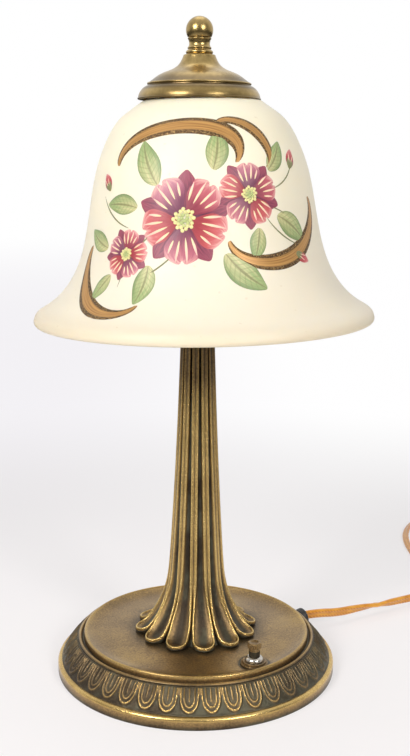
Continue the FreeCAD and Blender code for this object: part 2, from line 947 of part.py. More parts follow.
def cord_lead():
    points = lead_points()
    path, radii = rounded_route(points)
    solid = round_pipe(path, cord_width / 2)
    expected = math.pi * (cord_width / 2) ** 2 * path.Length
    print("cord lead: arc radii", [round(r, 1) for r in radii])
    print("cord lead: length %.1f, volume %.1f of %.1f" % (path.Length, solid.Volume, expected))
    return solid


def coil_point(turned):
    """Place and heading on the coil after an angle, wound clockwise, in and then out again."""
    half = TURN * coil_turns_per_layer
    rate = coil_pitch / TURN
    past = turned - half
    radius = coil_outer_radius - rate * (half - abs(past))
    drift = rate * (0 if abs(past) < 1e-9 else math.copysign(1, past))
    share = min(1.0, max(0.0, past / math.pi + 0.5))
    z = coil_low() + coil_pitch * share * share * (3 - 2 * share)
    climb = coil_pitch * 6 * share * (1 - share) / math.pi
    c, s = math.cos(-turned), math.sin(-turned)
    place = Vector(coil_x + radius * c, coil_y + radius * s, z)
    heading = Vector(drift * c + radius * s, drift * s - radius * c, climb)
    return place, heading.normalize()


def coil_path():
    """The coil's wire: a straight end, two arcs for each quarter turn, a straight end."""
    quarters = round(2 * coil_turns_per_layer * 4)
    step = 2 * coil_turns_per_layer * TURN / quarters
    stops = [coil_point(step * k) for k in range(quarters + 1)]
    place, heading = stops[0]
    edges = [Part.LineSegment(place - heading * cord_width, place).toShape()]
    for (here, going), (there, leaving) in zip(stops, stops[1:]):
        edges.extend(biarc(here, going, there, leaving))
    place, heading = stops[-1]
    edges.append(Part.LineSegment(place, place + heading * cord_width).toShape())
    return Part.Wire(edges)


def least_gap(path, thickness):
    """The least distance between turns of one wire, less its thickness."""
    points = path.discretize(Distance=1.5)
    least = 1e9
    apart = int(2.5 * thickness / 1.5)
    for k, one in enumerate(points):
        for other in points[k + apart:]:
            least = min(least, one.distanceToPoint(other))
    return least - thickness


def cord_coil():
    path = coil_path()
    solid = round_pipe(path, cord_width / 2)
    expected = math.pi * (cord_width / 2) ** 2 * path.Length
    print("cord coil: length %.1f, volume %.1f of %.1f" % (path.Length, solid.Volume, expected))
    print("cord coil: least gap between turns %.2f" % least_gap(path, cord_width))
    return solid


def coil_tie():
    """A flat strap round the turns, on the coil's left."""
    half = cord_width / 2
    inner = coil_outer_radius - coil_pitch * coil_turns_per_layer - half - soft_gap
    outer = coil_outer_radius + half + soft_gap
    width = outer - inner
    x = coil_x - (inner + outer) / 2
    height = 2 * half + coil_pitch + 0.1 + soft_gap
    grown = 2 * tie_thickness
    strap = block(width + grown, tie_width, 0, height + grown, x, coil_y)
    upright = [edge for edge in strap.Edges if abs(edge.tangentAt(0).y) > 0.9]
    strap = strap.makeFillet(1.5, upright)
    return strap.cut(block(width, tie_width + 2, tie_thickness, tie_thickness + height, x, coil_y))


def coil_end():
    """Where the coil's last straight end stops, and its heading."""
    place, heading = coil_point(2 * coil_turns_per_layer * TURN)
    return place + heading * cord_width, heading


def cord_tail():
    """The short free stretch between the coil and the plug."""
    place, heading = coil_end()
    return Part.makeCylinder(cord_width / 2, tail_length, place, heading)


def plug_frame():
    """Where the cord ends, and the direction that it goes there."""
    place, heading = coil_end()
    return place + heading * tail_length, heading


def plug_turned(shape):
    """Moves a piece drawn along +X from the origin to the end of the cord."""
    place, heading = plug_frame()
    shape.rotate(Vector(0, 0, 0), UP, math.degrees(math.atan2(heading.y, heading.x)))
    shape.translate(Vector(place.x, place.y, 0))
    return shape


def plug_body():
    height = 2 * plug_frame()[0].z
    grip = Part.makeBox(plug_length, plug_thickness, height, Vector(0, -plug_thickness / 2, 0))
    length_edges = [edge for edge in grip.Edges if abs(edge.tangentAt(0).x) > 0.9]
    return plug_turned(grip.makeFillet(4.0, length_edges))


def plug_blades():
    middle = plug_frame()[0].z
    blades = []
    for side in (-1, 1):
        low = middle + side * blade_pitch / 2 - blade_thickness / 2
        corner = Vector(plug_length, -blade_width / 2, low)
        blades.append(plug_turned(Part.makeBox(blade_length, blade_width, blade_thickness, corner)))
    return Part.makeCompound(blades)


# Leads inside the foot and the pipe

def feed_wire():
    """From the gland's inner end to the switch, across the hollow foot."""
    start = gland_centre() - gland_axis() * gland_in
    sideways = polar(1, switch_angle + 90, 0)
    z = switch_seat_height - 0.6 * switch_body_height
    face = switch_place + sideways * (switch_body_side / 2) + UP * z
    points = [
        start,
        start - gland_axis() * 12,
        Vector(0.62 * foot_radius, 0.12 * foot_radius, z),
        face + sideways * 26,
        face,
    ]
    path, radii = rounded_route(points)
    print("feed wire: arc radii", [round(r, 1) for r in radii])
    return round_pipe(path, wire_radius)


def riser_wire():
    """From the switch to the middle of the foot, and up the pipe to the socket."""
    inward = polar(-1, switch_angle, 0)
    z = switch_seat_height - switch_body_height + 1.2 * wire_radius
    face = switch_place + inward * (switch_body_side / 2) + UP * z
    bend = pipe_low - z
    points = [face, Vector(0, 0, z), Vector(0, 0, body_low)]
    reach = face.distanceToPoint(points[1])
    path, radii = rounded_route(points, min(0.45, bend / reach))
    print("riser wire: arc radii", [round(r, 1) for r in radii])
    return round_pipe(path, wire_radius)


pieces = {
    "base_casting": base_casting(),
    "base_board": base_board(),
    "base_felt": base_felt(),
    "column": column(),
    "neck_ring": neck_ring(),
    "lamp_pipe": lamp_pipe(),
    "bottom_washer": bottom_washer(),
    "bottom_nut": bottom_nut(),
    "harp_saddle": harp_saddle(),
    "harp": harp(),
    "harp_stud": harp_stud(),
    "harp_sleeve_left": harp_sleeve(-1),
    "harp_sleeve_right": harp_sleeve(1),
    "shade_plate": shade_plate(),
    "shade_gasket": shade_gasket(),
    "socket_cap": socket_cap(),
    "socket_shell": socket_shell(),
    "socket_liner": socket_liner(),
    "socket_body": socket_body(),
    "screw_shell": screw_shell(),
    "centre_contact": centre_contact(),
    "terminal_screws": terminal_screws(),
    "bulb_base": bulb_base(),
    "bulb_tip": bulb_tip(),
    "bulb_glass": bulb_glass(),
    "glass_shade": glass_shade(),
    "shade_cap": shade_cap(),
    "finial": finial(),
    "switch_body": switch_body(),
    "switch_bushing": switch_bushing(),
    "switch_flange": switch_flange(),
    "switch_nut": switch_nut(),
    "switch_shaft": switch_shaft(),
    "switch_knob": switch_knob(),
    "cord_gland": cord_gland(),
    "feed_wire": feed_wire(),
    "riser_wire": riser_wire(),
    "cord_lead": cord_lead(),
    "cord_coil": cord_coil(),
    "cord_tail": cord_tail(),
    "coil_tie": coil_tie(),
    "plug_body": plug_body(),
    "plug_blades": plug_blades(),
}

for name, shape in pieces.items():
    print("%-18s solids %d  valid %s  volume %.1f" % (name, len(shape.Solids), shape.isValid(), shape.Volume))
    shape.exportStep("parts/%s.step" % name)
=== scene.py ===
# %% [markdown]
# # A table lamp with a painted glass shade
#
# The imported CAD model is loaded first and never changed. Each new piece is a surface
# worked out with numpy, laid where the CAD says, and given a finish made of shader
# nodes. Lengths inside the shape functions are millimetres, and become metres when
# a mesh is made.

# %% Load the frame
import math

import bmesh
import bpy
import numpy as np
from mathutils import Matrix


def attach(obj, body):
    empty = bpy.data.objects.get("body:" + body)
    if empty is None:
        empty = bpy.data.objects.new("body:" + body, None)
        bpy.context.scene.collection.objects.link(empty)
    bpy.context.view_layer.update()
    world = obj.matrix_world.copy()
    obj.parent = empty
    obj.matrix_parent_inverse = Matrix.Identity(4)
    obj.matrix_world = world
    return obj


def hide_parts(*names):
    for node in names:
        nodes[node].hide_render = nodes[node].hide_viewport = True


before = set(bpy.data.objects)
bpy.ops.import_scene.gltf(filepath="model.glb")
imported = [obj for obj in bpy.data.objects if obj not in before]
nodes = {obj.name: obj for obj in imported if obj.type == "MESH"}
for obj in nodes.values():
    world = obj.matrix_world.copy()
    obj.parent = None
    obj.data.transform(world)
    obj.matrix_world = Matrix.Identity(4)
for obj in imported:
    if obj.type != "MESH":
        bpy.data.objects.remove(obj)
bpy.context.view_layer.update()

MM = 0.001
TURN = 2 * math.pi
FRONT = -90.0            # azimuth, in degrees, of the side that faces the camera

# %% [markdown]
# ## The camera
#
# The ellipses of the foot, the rim of the shade and the cap give the place of the
# photographer's camera: a little right of the lamp and above its middle, looking
# slightly down. A long lens keeps the shade's rim nearly flat.

# %% Camera
CAMERA_PLACE = (0.0045, -0.8184, 0.3976)
LOOK_DOWN, LEAN = 11.405, -0.42      # degrees below level, and of roll

camera_data = bpy.data.cameras.new("camera")
camera_data.sensor_fit = "VERTICAL"
camera_data.sensor_height = 36.0
camera_data.lens = 52.16
camera = bpy.data.objects.new("camera", camera_data)
camera.location = CAMERA_PLACE
camera.rotation_euler = (math.radians(90 - LOOK_DOWN), math.radians(LEAN), 0)
bpy.context.scene.collection.objects.link(camera)
bpy.context.scene.camera = camera

# %% [markdown]
# ## Grids that become meshes
#
# Every surface here is a grid of points, worked out as whole arrays. A stack of grids
# of one size can go into one mesh, so twelve petals cost one call. Each row is a ring,
# and a closed grid joins its last row to its first as well. The signed volume tells
# which way the faces point, and turns them outwards.

# %% Grid helpers
def grid_faces(index, closed):
    """Corner numbers of every quad: each cell joins a point to its right and lower neighbours."""
    if closed:
        index = np.concatenate([index, index[:, :1]], axis=1)
    index = np.concatenate([index, index[:, :, :1]], axis=2)
    corners = (index[:, :-1, :-1], index[:, :-1, 1:], index[:, 1:, 1:], index[:, 1:, :-1])
    return np.stack(corners, axis=-1).reshape(-1, 4)


def signed_volume(points, faces):
    """A sixth of the sum of the triple products of each quad's two triangles."""
    a, b, c, d = (points[faces[:, k]] for k in range(4))
    return float(np.sum(a * np.cross(b, c)) + np.sum(a * np.cross(c, d))) / 6


def finish_mesh(mesh, smooth_angle):
    """Merges the points that meet at seams and poles, then shades smooth up to an angle."""
    work = bmesh.new()
    work.from_mesh(mesh)
    bmesh.ops.remove_doubles(work, verts=work.verts, dist=2e-7)
    bmesh.ops.dissolve_degenerate(work, edges=work.edges, dist=1e-8)
    work.to_mesh(mesh)
    work.free()
    mesh.shade_smooth()
    mesh.set_sharp_from_angle(angle=math.radians(smooth_angle))


def surface(name, points, body, slot, closed=False, lids=False, marks=None, angle=40.0):
    """A piece from grids of points in mm, shaped (grids, rows, columns, 3).

    closed joins the last row to the first. lids closes the first and last row of each
    grid with one face. marks are named arrays, one number for each point.
    """
    if points.ndim == 3:
        points = points[None]
    flat = points.reshape(-1, 3) * MM
    index = np.arange(len(flat)).reshape(points.shape[:3])
    faces = grid_faces(index, closed)
    order = -1 if signed_volume(flat - flat.mean(0), faces) < 0 else 1
    polygons = faces[:, ::order].tolist()
    if lids:
        polygons += index[:, 0, ::order].tolist() + index[:, -1, ::-order].tolist()
    mesh = bpy.data.meshes.new(name)
    mesh.from_pydata(flat.tolist(), [], polygons)
    for mark, values in (marks or {}).items():
        attribute = mesh.attributes.new(mark, "FLOAT", "POINT")
        whole = np.broadcast_to(values, points.shape[:3]).astype(np.float32)
        attribute.data.foreach_set("value", whole.ravel())
    finish_mesh(mesh, angle)
    piece = bpy.data.objects.new(name, mesh)
    bpy.context.scene.collection.objects.link(piece)
    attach(piece, body)
    print(name, len(mesh.polygons), "faces")
    return piece


# %% [markdown]
# A turned piece is a profile carried round the axis. Its profile is drawn like a
# turner's template: through points, along arcs, or straight.

# %% Profile helpers
def smooth_through(points, count):
    """Evenly spaced points on the natural cubic curve through the given ones.

    Between two neighbours the curve is the cubic whose second derivative runs
    straight from one knot's bend to the next; the bends solve one linear system.
    """
    points = np.asarray(points, float)
    steps = np.linalg.norm(np.diff(points, axis=0), axis=1)
    knots = np.concatenate([[0.0], np.cumsum(steps)])
    n = len(points)
    system = np.eye(n)
    inner = np.arange(1, n - 1)
    system[inner, inner - 1] = steps[:-1]
    system[inner, inner] = 2 * (steps[:-1] + steps[1:])
    system[inner, inner + 1] = steps[1:]
    slopes = np.diff(points, axis=0) / steps[:, None]
    right = np.zeros_like(points)
    right[1:-1] = 6 * np.diff(slopes, axis=0)
    bends = np.linalg.solve(system, right)
    where = np.linspace(0, knots[-1], count)
    k = np.clip(np.searchsorted(knots, where, side="right") - 1, 0, n - 2)
    h = steps[k][:, None]
    a = knots[k + 1][:, None] - where[:, None]
    b = where[:, None] - knots[k][:, None]
    curve = (bends[k] * a**3 + bends[k + 1] * b**3) / (6 * h)
    curve += (points[k] / h - bends[k] * h / 6) * a
    curve += (points[k + 1] / h - bends[k + 1] * h / 6) * b
    return curve


def arc(centre, radius, start, end, count=9):
    """Points on a circle's arc: centre plus radius at evenly spaced angles in degrees."""
    angle = np.radians(np.linspace(start, end, count))
    return np.stack([centre[0] + radius * np.cos(angle), centre[1] + radius * np.sin(angle)], axis=1)


def template(*parts):
    """One profile from several: each part is a list of points, joined end to end."""
    return np.concatenate([np.asarray(part, float).reshape(-1, 2) for part in parts])


def round_axis(radius, angle, height, centre=(0.0, 0.0)):
    """Points at a radius, an angle in radians and a height about an upright axis."""
    x, y = centre[0] + radius * np.cos(angle), centre[1] + radius * np.sin(angle)
    return np.stack(np.broadcast_arrays(x, y, height), axis=-1)


def turned(profile, columns, centre=(0.0, 0.0)):
    """Each profile point (r, z) goes round the axis in equal steps."""
    angle = np.linspace(0, TURN, columns, endpoint=False)
    return round_axis(profile[:, 0, None], angle, profile[:, 1, None], centre)


def lathed(name, profile, columns, body, slot, centre=(0.0, 0.0), **more):
    """A piece whose whole shape is one turned profile."""
    return surface(name, turned(profile, columns, centre), body, slot, closed=True, **more)


def on_circle(radius, degrees):
    """The point (x, y) at a radius and an azimuth."""
    return radius * np.array([math.cos(math.radians(degrees)), math.sin(math.radians(degrees))])


def lengths_along(points):
    """How far along a line of points each one lies."""
    return np.concatenate([[0.0], np.cumsum(np.linalg.norm(np.diff(points, axis=0), axis=1))])


def unit(vectors):
    """The same directions with a length of 1."""
    return vectors / np.linalg.norm(vectors, axis=-1, keepdims=True)


def step_up(low, high, value):
    """0 at low, 1 at high, and the smooth cubic 3t^2 - 2t^3 between; low may be the larger."""
    t = np.clip((value - low) / (high - low), 0, 1)
    return t * t * (3 - 2 * t)


def bump_at(place, width, value):
    """A rounded ridge: the bell curve exp(-(x / width)^2) about its place."""
    return np.exp(-(((value - place) / width) ** 2))


# %% [markdown]
# ## The flat cord
#
# A flat two-wire cord leaves the back right of the foot through a black bush, runs
# off to the right, and the rest of its 1.8 m lies coiled outside the picture. Its
# route is a smooth NURBS curve, and the coil is more points of the same curve. The
# flat section follows the points that Blender works out on that curve, rolled about
# it so that the cord shows now its broad face, now its edge.

# %% The cord's route
CORD_WIDTH = 6.6
FLOOR = CORD_WIDTH / 2        # height of the middle of a cord that lies on edge
GLAND_ANGLE, GLAND_HEIGHT, GLAND_SLOPE, GLAND_OUT = 27.0, 19.0, 14.0, 4.2
BORDER_LOW, BORDER_HIGH = (106.4, 9.2), (93.6, 25.3)     # radius and height of the CAD border's edges
COIL_CENTRE = (292.0, 290.0)
COIL_RADIUS, COIL_PITCH, COIL_TURNS, COIL_LIFT = 47.5, 7.1, 2.5, 0.9
TAIL_LENGTH = 26.0
POINTS_PER_TURN = 16
LITTLE_TURN = 0.001

border_share = (GLAND_HEIGHT - BORDER_LOW[1]) / (BORDER_HIGH[1] - BORDER_LOW[1])
gland_radius = BORDER_LOW[0] + border_share * (BORDER_HIGH[0] - BORDER_LOW[0])
gland_rise = math.radians(GLAND_SLOPE)
gland_place = np.array([*on_circle(gland_radius, GLAND_ANGLE), GLAND_HEIGHT])
gland_axis = np.array([*on_circle(math.cos(gland_rise), GLAND_ANGLE), math.sin(gland_rise)])
cord_exit = gland_place + gland_axis * GLAND_OUT


def coil_points(turned_by):
    """The coil's centre line: the radius shrinks and then grows, and the height gains a layer.

    The radius is the outer one less the pitch for each turn wound in, and the height
    rises by one pitch in the half turn where the winding reverses.
    """
    past = turned_by - TURN * COIL_TURNS
    radius = COIL_RADIUS - COIL_PITCH / TURN * (TURN * COIL_TURNS - np.abs(past))
    height = FLOOR + COIL_LIFT + COIL_PITCH * step_up(-0.5 * math.pi, 0.5 * math.pi, past)
    return round_axis(radius, -turned_by, height, COIL_CENTRE)


loose_route = np.array([
    (121.0, 64.5, 14.8), (143.0, 80.5, 12.6), (167.5, 94.5, 10.8), (193.0, 111.5, 9.0),
    (218.0, 130.0, 6.2), (233.0, 153.0, 3.6), (234.0, 181.0, 2.6), (225.5, 208.0, 1.9),
    (220.5, 241.0, 1.7), (219.0, 276.0, 1.7), (223.5, 309.0, 1.9), (236.5, 341.0, 2.6),
    (260.0, 367.0, FLOOR), (290.0, 378.0, FLOOR), (320.5, 364.0, FLOOR + 0.3),
])
whole_turns = np.linspace(0, 2 * COIL_TURNS * TURN, round(2 * COIL_TURNS * POINTS_PER_TURN) + 1)
wound = coil_points(whole_turns)
heading_in = unit(coil_points(LITTLE_TURN) - wound[0])
heading_out = unit(wound[-1] - coil_points(whole_turns[-1] - LITTLE_TURN))
coil_entry = wound[0] - heading_in * CORD_WIDTH
cord_end = wound[-1] + heading_out * (CORD_WIDTH + TAIL_LENGTH)
route = np.concatenate([
    [cord_exit, cord_exit + gland_axis * 12.5 - (0, 0, 3.4)],
    loose_route,
    [coil_entry - heading_in * 34, coil_entry],
    wound,
    [wound[-1] + heading_out * (CORD_WIDTH + 8), cord_end],
])

line = bpy.data.curves.new("cord_route", "CURVE")
line.dimensions = "3D"
line.resolution_u = 10
spline = line.splines.new("NURBS")
spline.points.add(len(route) - 1)
spline.points.foreach_set("co", np.column_stack([route * MM, np.ones(len(route))]).ravel())
spline.order_u = 3
spline.use_endpoint_u = True
route_object = bpy.data.objects.new("cord_route", line)
bpy.context.scene.collection.objects.link(route_object)
bpy.context.view_layer.update()
drawn = route_object.evaluated_get(bpy.context.evaluated_depsgraph_get())
route_mesh = bpy.data.meshes.new_from_object(drawn)
cord_path = np.zeros(len(route_mesh.vertices) * 3)
route_mesh.vertices.foreach_get("co", cord_path)
cord_path = cord_path.reshape(-1, 3) / MM
bpy.data.objects.remove(route_object)

# %% [markdown]
# The section is two round strands joined by a web. Its half thickness at each place
# across is the height of the strand's circle there, and nowhere less than the web's.

# %% The cord's body
def evenly(points, spacing):
    """Points at even distances along a line of points, and those distances."""
    along = lengths_along(points)
    where = np.linspace(0, along[-1], int(along[-1] / spacing) + 1)
    return np.stack([np.interp(where, along, points[:, k]) for k in range(3)], axis=1), where


def twin_section(count):
    """The section's outline: places across the cord, and places through its thickness."""
    t = np.linspace(0, TURN, count, endpoint=False)
    across = 0.5 * CORD_WIDTH * np.sign(np.cos(t)) * np.abs(np.cos(t)) ** 0.85
    strand = CORD_WIDTH / 4
    height = np.sqrt(np.clip(strand**2 - (np.abs(across) - strand) ** 2, 0, None))
    web = 0.62 * strand * (np.abs(across) < strand)
    return across, np.maximum(height, web) * np.sign(np.sin(t))


line_points, line_along = evenly(cord_path, 1.7)
ahead = unit(np.gradient(line_points, axis=0))
level = unit(np.cross(ahead, [0.0, 0.0, 1.0]))
above = np.cross(level, ahead)
roll_places = [0, 46, 66, 80, 96, 124, 160, 190, 215, 250, 330, 370, 420, 470, 541, 1e4]
roll_degrees = [88, 86, 52, 16, 62, 84, 70, 56, 34, 14, 12, 40, 84, 90, 90, 90]
roll = np.radians(np.interp(line_along, roll_places, roll_degrees))[:, None]
across, thick = twin_section(24)
broad = level * np.cos(roll) + above * np.sin(roll)
narrow = above * np.cos(roll) - level * np.sin(roll)
FULLER = 0.13      # the cord looks this much fuller where it leaves the bush
swollen = 1 + FULLER * (1 - step_up(90.0, 180.0, line_along))[:, None, None]
cord_section = broad[:, None] * across[None, :, None] + narrow[:, None] * thick[None, :, None]
cord_grid = line_points[:, None] + swollen * cord_section
cord = surface(
    "flat_cord", cord_grid, "stand", "cord_gold", lids=True, angle=60,
    marks={"across": across / CORD_WIDTH * 2, "along": line_along[:, None] * MM},
)
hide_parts("cord_lead", "cord_coil", "cord_tail")
print("cord length", round(line_along[-1] * MM, 4), "m")

# %% [markdown]
# ## The foot
#
# The foot is one round casting: a plain band, a sloping border of ornament, a bead,
# a groove, a rolled rim and a shallow dish. All but the border is a turned profile.
# The border is a cone with relief added along its outward direction.

# %% The turned body of the foot
foot_profile = template(
    [(105.3, 0.0), (108.9, 0.0)],
    arc((108.9, 0.6), 0.6, -90, 0, 4),
    [(109.5, 3.5), (109.45, 6.0)],
    arc((106.9, 6.6), 2.6, 4, 90, 12),
    [(106.4, 9.25), (105.9, 8.9), (105.2, 9.0), (92.4, 25.0)],
    arc((91.9, 26.0), 1.35, 0, 180, 15),
    [(90.3, 25.5), (89.8, 25.3), (89.2, 25.5), (88.8, 26.4), (88.62, 28.0), (88.6, 29.6)],
    arc((87.4, 29.8), 1.2, 10, 140, 13),
    smooth_through(
        [(86.3, 30.4), (84.6, 29.6), (82.0, 28.75), (78.5, 28.15), (74.5, 28.0), (68.0, 28.25)], 26
    ),
    smooth_through([(66.0, 28.35), (57.0, 28.95), (46.0, 29.65), (30.0, 30.2), (5.45, 30.2)], 26),
    [(5.45, 27.2), (49.0, 27.2), (75.0, 25.0), (86.0, 22.8), (90.6, 22.6), (103.4, 8.4), (103.4, 2.8)],
    [(105.3, 2.8)],
)


ROLLED_RIM, GROOVE, BEAD, BAND = 87.4, 89.7, 92.0, 104.0     # radius of each turned feature
DISH_EDGE, PETAL_RING = 90.9, 44.0
SWITCH_RING = 10.9                       # radius of the dark ring round the switch's flange


def foot_wear_and_light(profile):
    """How bright each turned place is, from wear, painted highlights and painted shade."""
    r, z = profile[:, 0], profile[:, 1]
    # The dish is painted darker inside a radius of 60 mm: painted shade round the column.
    dish = 0.50 - 0.08 * step_up(60.0, 45.0, r)
    # Rolled rim and bead are brighter: wear and a painted highlight.
    rolled = 0.16 * bump_at(ROLLED_RIM, 1.6, r) * (z > 28.6)
    bead = 0.60 * bump_at(BEAD, 1.5, r) * (z > 25.4)
    groove = -0.48 * bump_at(GROOVE, 0.95, r) * (z < 28.0)
    # The band is brightest at its top edge, a painted highlight, and its lowest millimetre is painted dark:
    # painted shade where it meets the floor.
    band = (0.42 + 0.36 * bump_at(8.3, 2.4, z)) * (r > BAND) - 0.3 * (z < 0.9)
    return dish * (r < DISH_EDGE) + rolled + bead + groove + band


SWITCH = on_circle(74.9, -54.2)
foot_grid = turned(foot_profile, 320)
from_switch = np.hypot(foot_grid[..., 0] - SWITCH[0], foot_grid[..., 1] - SWITCH[1])
from_axis = np.hypot(foot_grid[..., 0], foot_grid[..., 1])
# On the foot, darkened is painted shadow on the dish: a ring round the switch's flange and a ring under the
# petals' tips.
darkened = 0.42 * bump_at(SWITCH_RING, 1.3, from_switch) + 0.12 * bump_at(PETAL_RING, 9.0, from_axis)
foot = surface(
    "foot", foot_grid, "stand", "antique_brass", closed=True, angle=32,
    marks={"relief": foot_wear_and_light(foot_profile)[:, None] - darkened},
)

# %% [markdown]
# The border carries forty tongues. In one tongue's own millimetres, x runs across and
# t runs down the slope. The distance from a stretched U-shape, straight above and
# elliptical below, gives nested ridges wherever that distance is one.

# %% The border of tongues
TONGUES = 40
FIRST_TONGUE = FRONT - 2.2
SLOPE_TOP, SLOPE_FOOT = 93.4, 106.4      # radius at the slope's upper and lower edge
SLOPE_HEIGHT = 25.6                      # of the slope's upper edge
SLOPE_LENGTH, SLOPE_DROP = 20.7, 16.3
OUTWARD, UPWARD = 0.787, 0.617           # the slope's normal
LEGS_END = 8.0                           # where a U's legs end and its round foot begins


def u_distance(x, t, half_width, legs_end, depth):
    """1 on a U: |x| / half width on its legs, and an ellipse's radius below legs_end."""
    below = np.clip(t - legs_end, 0, None)
    return np.sqrt((x / half_width) ** 2 + (below / depth) ** 2)


def tongue_relief(x, t, pitch):
    """Height in mm: two nested U ridges, a tongue in the middle, and a dart between neighbours."""
    outer = (u_distance(x, t, 6.2, LEGS_END, 9.9) - 1) * 6.2
    inner = (u_distance(x, t, 3.75, LEGS_END, 6.5) - 1) * 3.75
    middle = bump_at(0, 0.48, x) * (1 - step_up(9.5, 12.2, t))
    dart = bump_at(0, 0.42, np.abs(x) - pitch / 2) * (1 - step_up(5.0, 8.5, t))
    height = 0.80 * bump_at(0, 0.50, outer) + 0.70 * bump_at(0, 0.42, inner) + 0.6 * middle + 0.6 * dart
    height = height - 0.4 * (1 - dart) * step_up(0.8, 1.5, outer)
    return height * step_up(0.2, 1.4, t) * (1 - step_up(19.2, 20.3, t))


across_count, down_count = 36, 48
fraction = (np.arange(TONGUES * across_count) / across_count)[None, :]
down = np.linspace(0, SLOPE_LENGTH, down_count)[:, None]
local = (fraction + 0.5) % 1 - 0.5
slope_radius = SLOPE_TOP + (SLOPE_FOOT - SLOPE_TOP) * down / SLOPE_LENGTH
slope_height = SLOPE_HEIGHT - SLOPE_DROP * down / SLOPE_LENGTH
pitch = slope_radius * TURN / TONGUES
relief = tongue_relief(local * pitch, down, pitch)
swell = 0.7 * (1 - (2 * down / SLOPE_LENGTH - 1) ** 2)
lift = swell + relief
angle = np.radians(FIRST_TONGUE + fraction * 360 / TONGUES)
front = round_axis(slope_radius + OUTWARD * lift, angle, slope_height + UPWARD * lift)
back = round_axis((slope_radius - 1.6)[[-1, 0]], angle, (slope_height - 1.2)[[-1, 0]])
# Ridges on the side that faces the camera are painted brighter: a painted highlight on top of the wear.
toward_camera = 0.5 + 0.5 * np.cos(angle - math.radians(FRONT - 6))
border_wear_and_glint = 0.17 + (0.16 + 0.80 * toward_camera**5) * relief.clip(0) ** 1.3 + 0.2 * relief.clip(max=0)
border_brightness = np.concatenate([np.clip(border_wear_and_glint, 0, 1.3), np.zeros((2, relief.shape[1]))])
border = surface(
    "foot_border", np.concatenate([front, back]), "stand", "antique_brass",
    closed=True, marks={"relief": border_brightness}, angle=60,
)
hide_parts("base_casting")

# %% [markdown]
# ## The column
#
# The column is cast with twelve hollow flutes. Low down each flute widens, leaves its
# neighbours and ends in a spoon-shaped petal with a thick lip. One petal, from the top
# of the column to its tip, is a strip: rows follow the petal's middle line and columns
# run across it. The lip follows the true distance from the petal's outline, so it
# turns round the tip as the real one does.

# %% The petals
FLUTES = 12
FLUTE_PHASE = -81.0
LIP = 2.55
CLOSE_ROWS = 62.0                        # the length above the tip whose rows lie close together
TIP_RADIUS = 9.3
FRONT_FLOOR, BACK_FLOOR = 30.4, 30.25    # the lowest a petal's front and back reach, over the dish

middle_line = smooth_through([
    (12.4, 270.0), (14.6, 207.0), (16.7, 160.0), (19.4, 111.0), (21.1, 86.0), (22.9, 71.5),
    (26.2, 60.0), (30.9, 49.3), (36.4, 40.6), (42.0, 35.2), (49.0, 32.9),
], 900)
middle_along = lengths_along(middle_line)
tip_start = middle_along[-1] - TIP_RADIUS


def on_middle(along):
    """The middle line's radius and height at a distance along it, and its outward direction."""
    line_and_slope = np.concatenate([middle_line, np.gradient(middle_line, axis=0)], axis=1)
    radius, height, run, fall = (np.interp(along, middle_along, values) for values in line_and_slope.T)
    size = np.hypot(run, fall)
    return radius, height, -fall / size, run / size


def petal_half_width(along):
    """Half the pitch between flutes on the shaft, easing to the spoon's width near the tip."""
    radius = on_middle(np.minimum(along, tip_start))[0]
    pitch = radius * math.pi / FLUTES + 0.02
    spoon = TIP_RADIUS - 0.042 * np.clip(tip_start - along, 0, None)
    share = step_up(tip_start - 42, tip_start - 8, along)
    return np.minimum(pitch, pitch * (1 - share) + spoon * share)


shaft_end = tip_start - CLOSE_ROWS
shaft_rows = np.linspace(0, shaft_end, 26, endpoint=False)
foot_rows = np.linspace(shaft_end, tip_start, 50, endpoint=False)
tip_turn = np.linspace(0, math.pi / 2, 24)
rows_along = np.concatenate([shaft_rows, foot_rows, tip_start + TIP_RADIUS * np.sin(tip_turn)])
in_tip = np.arange(len(rows_along)) >= len(shaft_rows) + len(foot_rows)
full_width = petal_half_width(np.minimum(rows_along, tip_start))[:, None]
rows_width = full_width.copy()
rows_width[in_tip, 0] *= np.cos(tip_turn)

ACROSS = 38
EDGE_TURN = math.pi / 2 * 0.86           # columns crowd together towards the lip, as a sine's values do
along = rows_along[:, None]
sideways = rows_width * (np.sin(np.linspace(-1, 1, ACROSS + 1) * EDGE_TURN) / math.sin(EDGE_TURN))
beyond = np.clip(along - tip_start, 0, None)
from_edge = full_width - np.sqrt(sideways**2 + (beyond * full_width / TIP_RADIUS) ** 2)
opening = step_up(tip_start - 48, tip_start - 16, along)
lip = LIP * (1 - 0.26 * opening)
channel = np.clip((from_edge - lip) / np.maximum(full_width - lip, 0.1), 0, 1)
depth = 2.3 + 0.5 * opening - 1.6 * step_up(tip_start + 1, tip_start + TIP_RADIUS, along)
brink = step_up(0.0, 0.65, from_edge - lip)
hollow = -0.75 * brink - (depth - 0.75) * (1 - (1 - channel) ** 1.9)
lip_round = 0.30 * bump_at(lip - 0.45, 0.5, from_edge) - 0.18 * bump_at(0.0, 0.6, from_edge)
outer_wall = -1.7 * opening * (1 - step_up(-0.05, 0.95, from_edge))
petal_height = hollow + lip_round + outer_wall
radius, height, out_r, out_z = on_middle(along)
back_drop = -(4.2 + 0.4 * opening)
back_sides = np.linspace(1, -1, 5)[None, :]
front_r = radius + petal_height * out_r
front_z = np.maximum(height + petal_height * out_z, FRONT_FLOOR)
back_r = radius + back_drop * out_r + 0 * back_sides
back_z = np.maximum(height + back_drop * out_z, BACK_FLOOR) + 0 * back_sides
ring_r = np.concatenate([front_r, back_r], axis=1)
ring_z = np.concatenate([front_z, back_z], axis=1)
ring_side = np.concatenate([sideways, rows_width * back_sides * 0.97], axis=1)
petal_angles = np.radians(FLUTE_PHASE + 360 / FLUTES * np.arange(FLUTES))
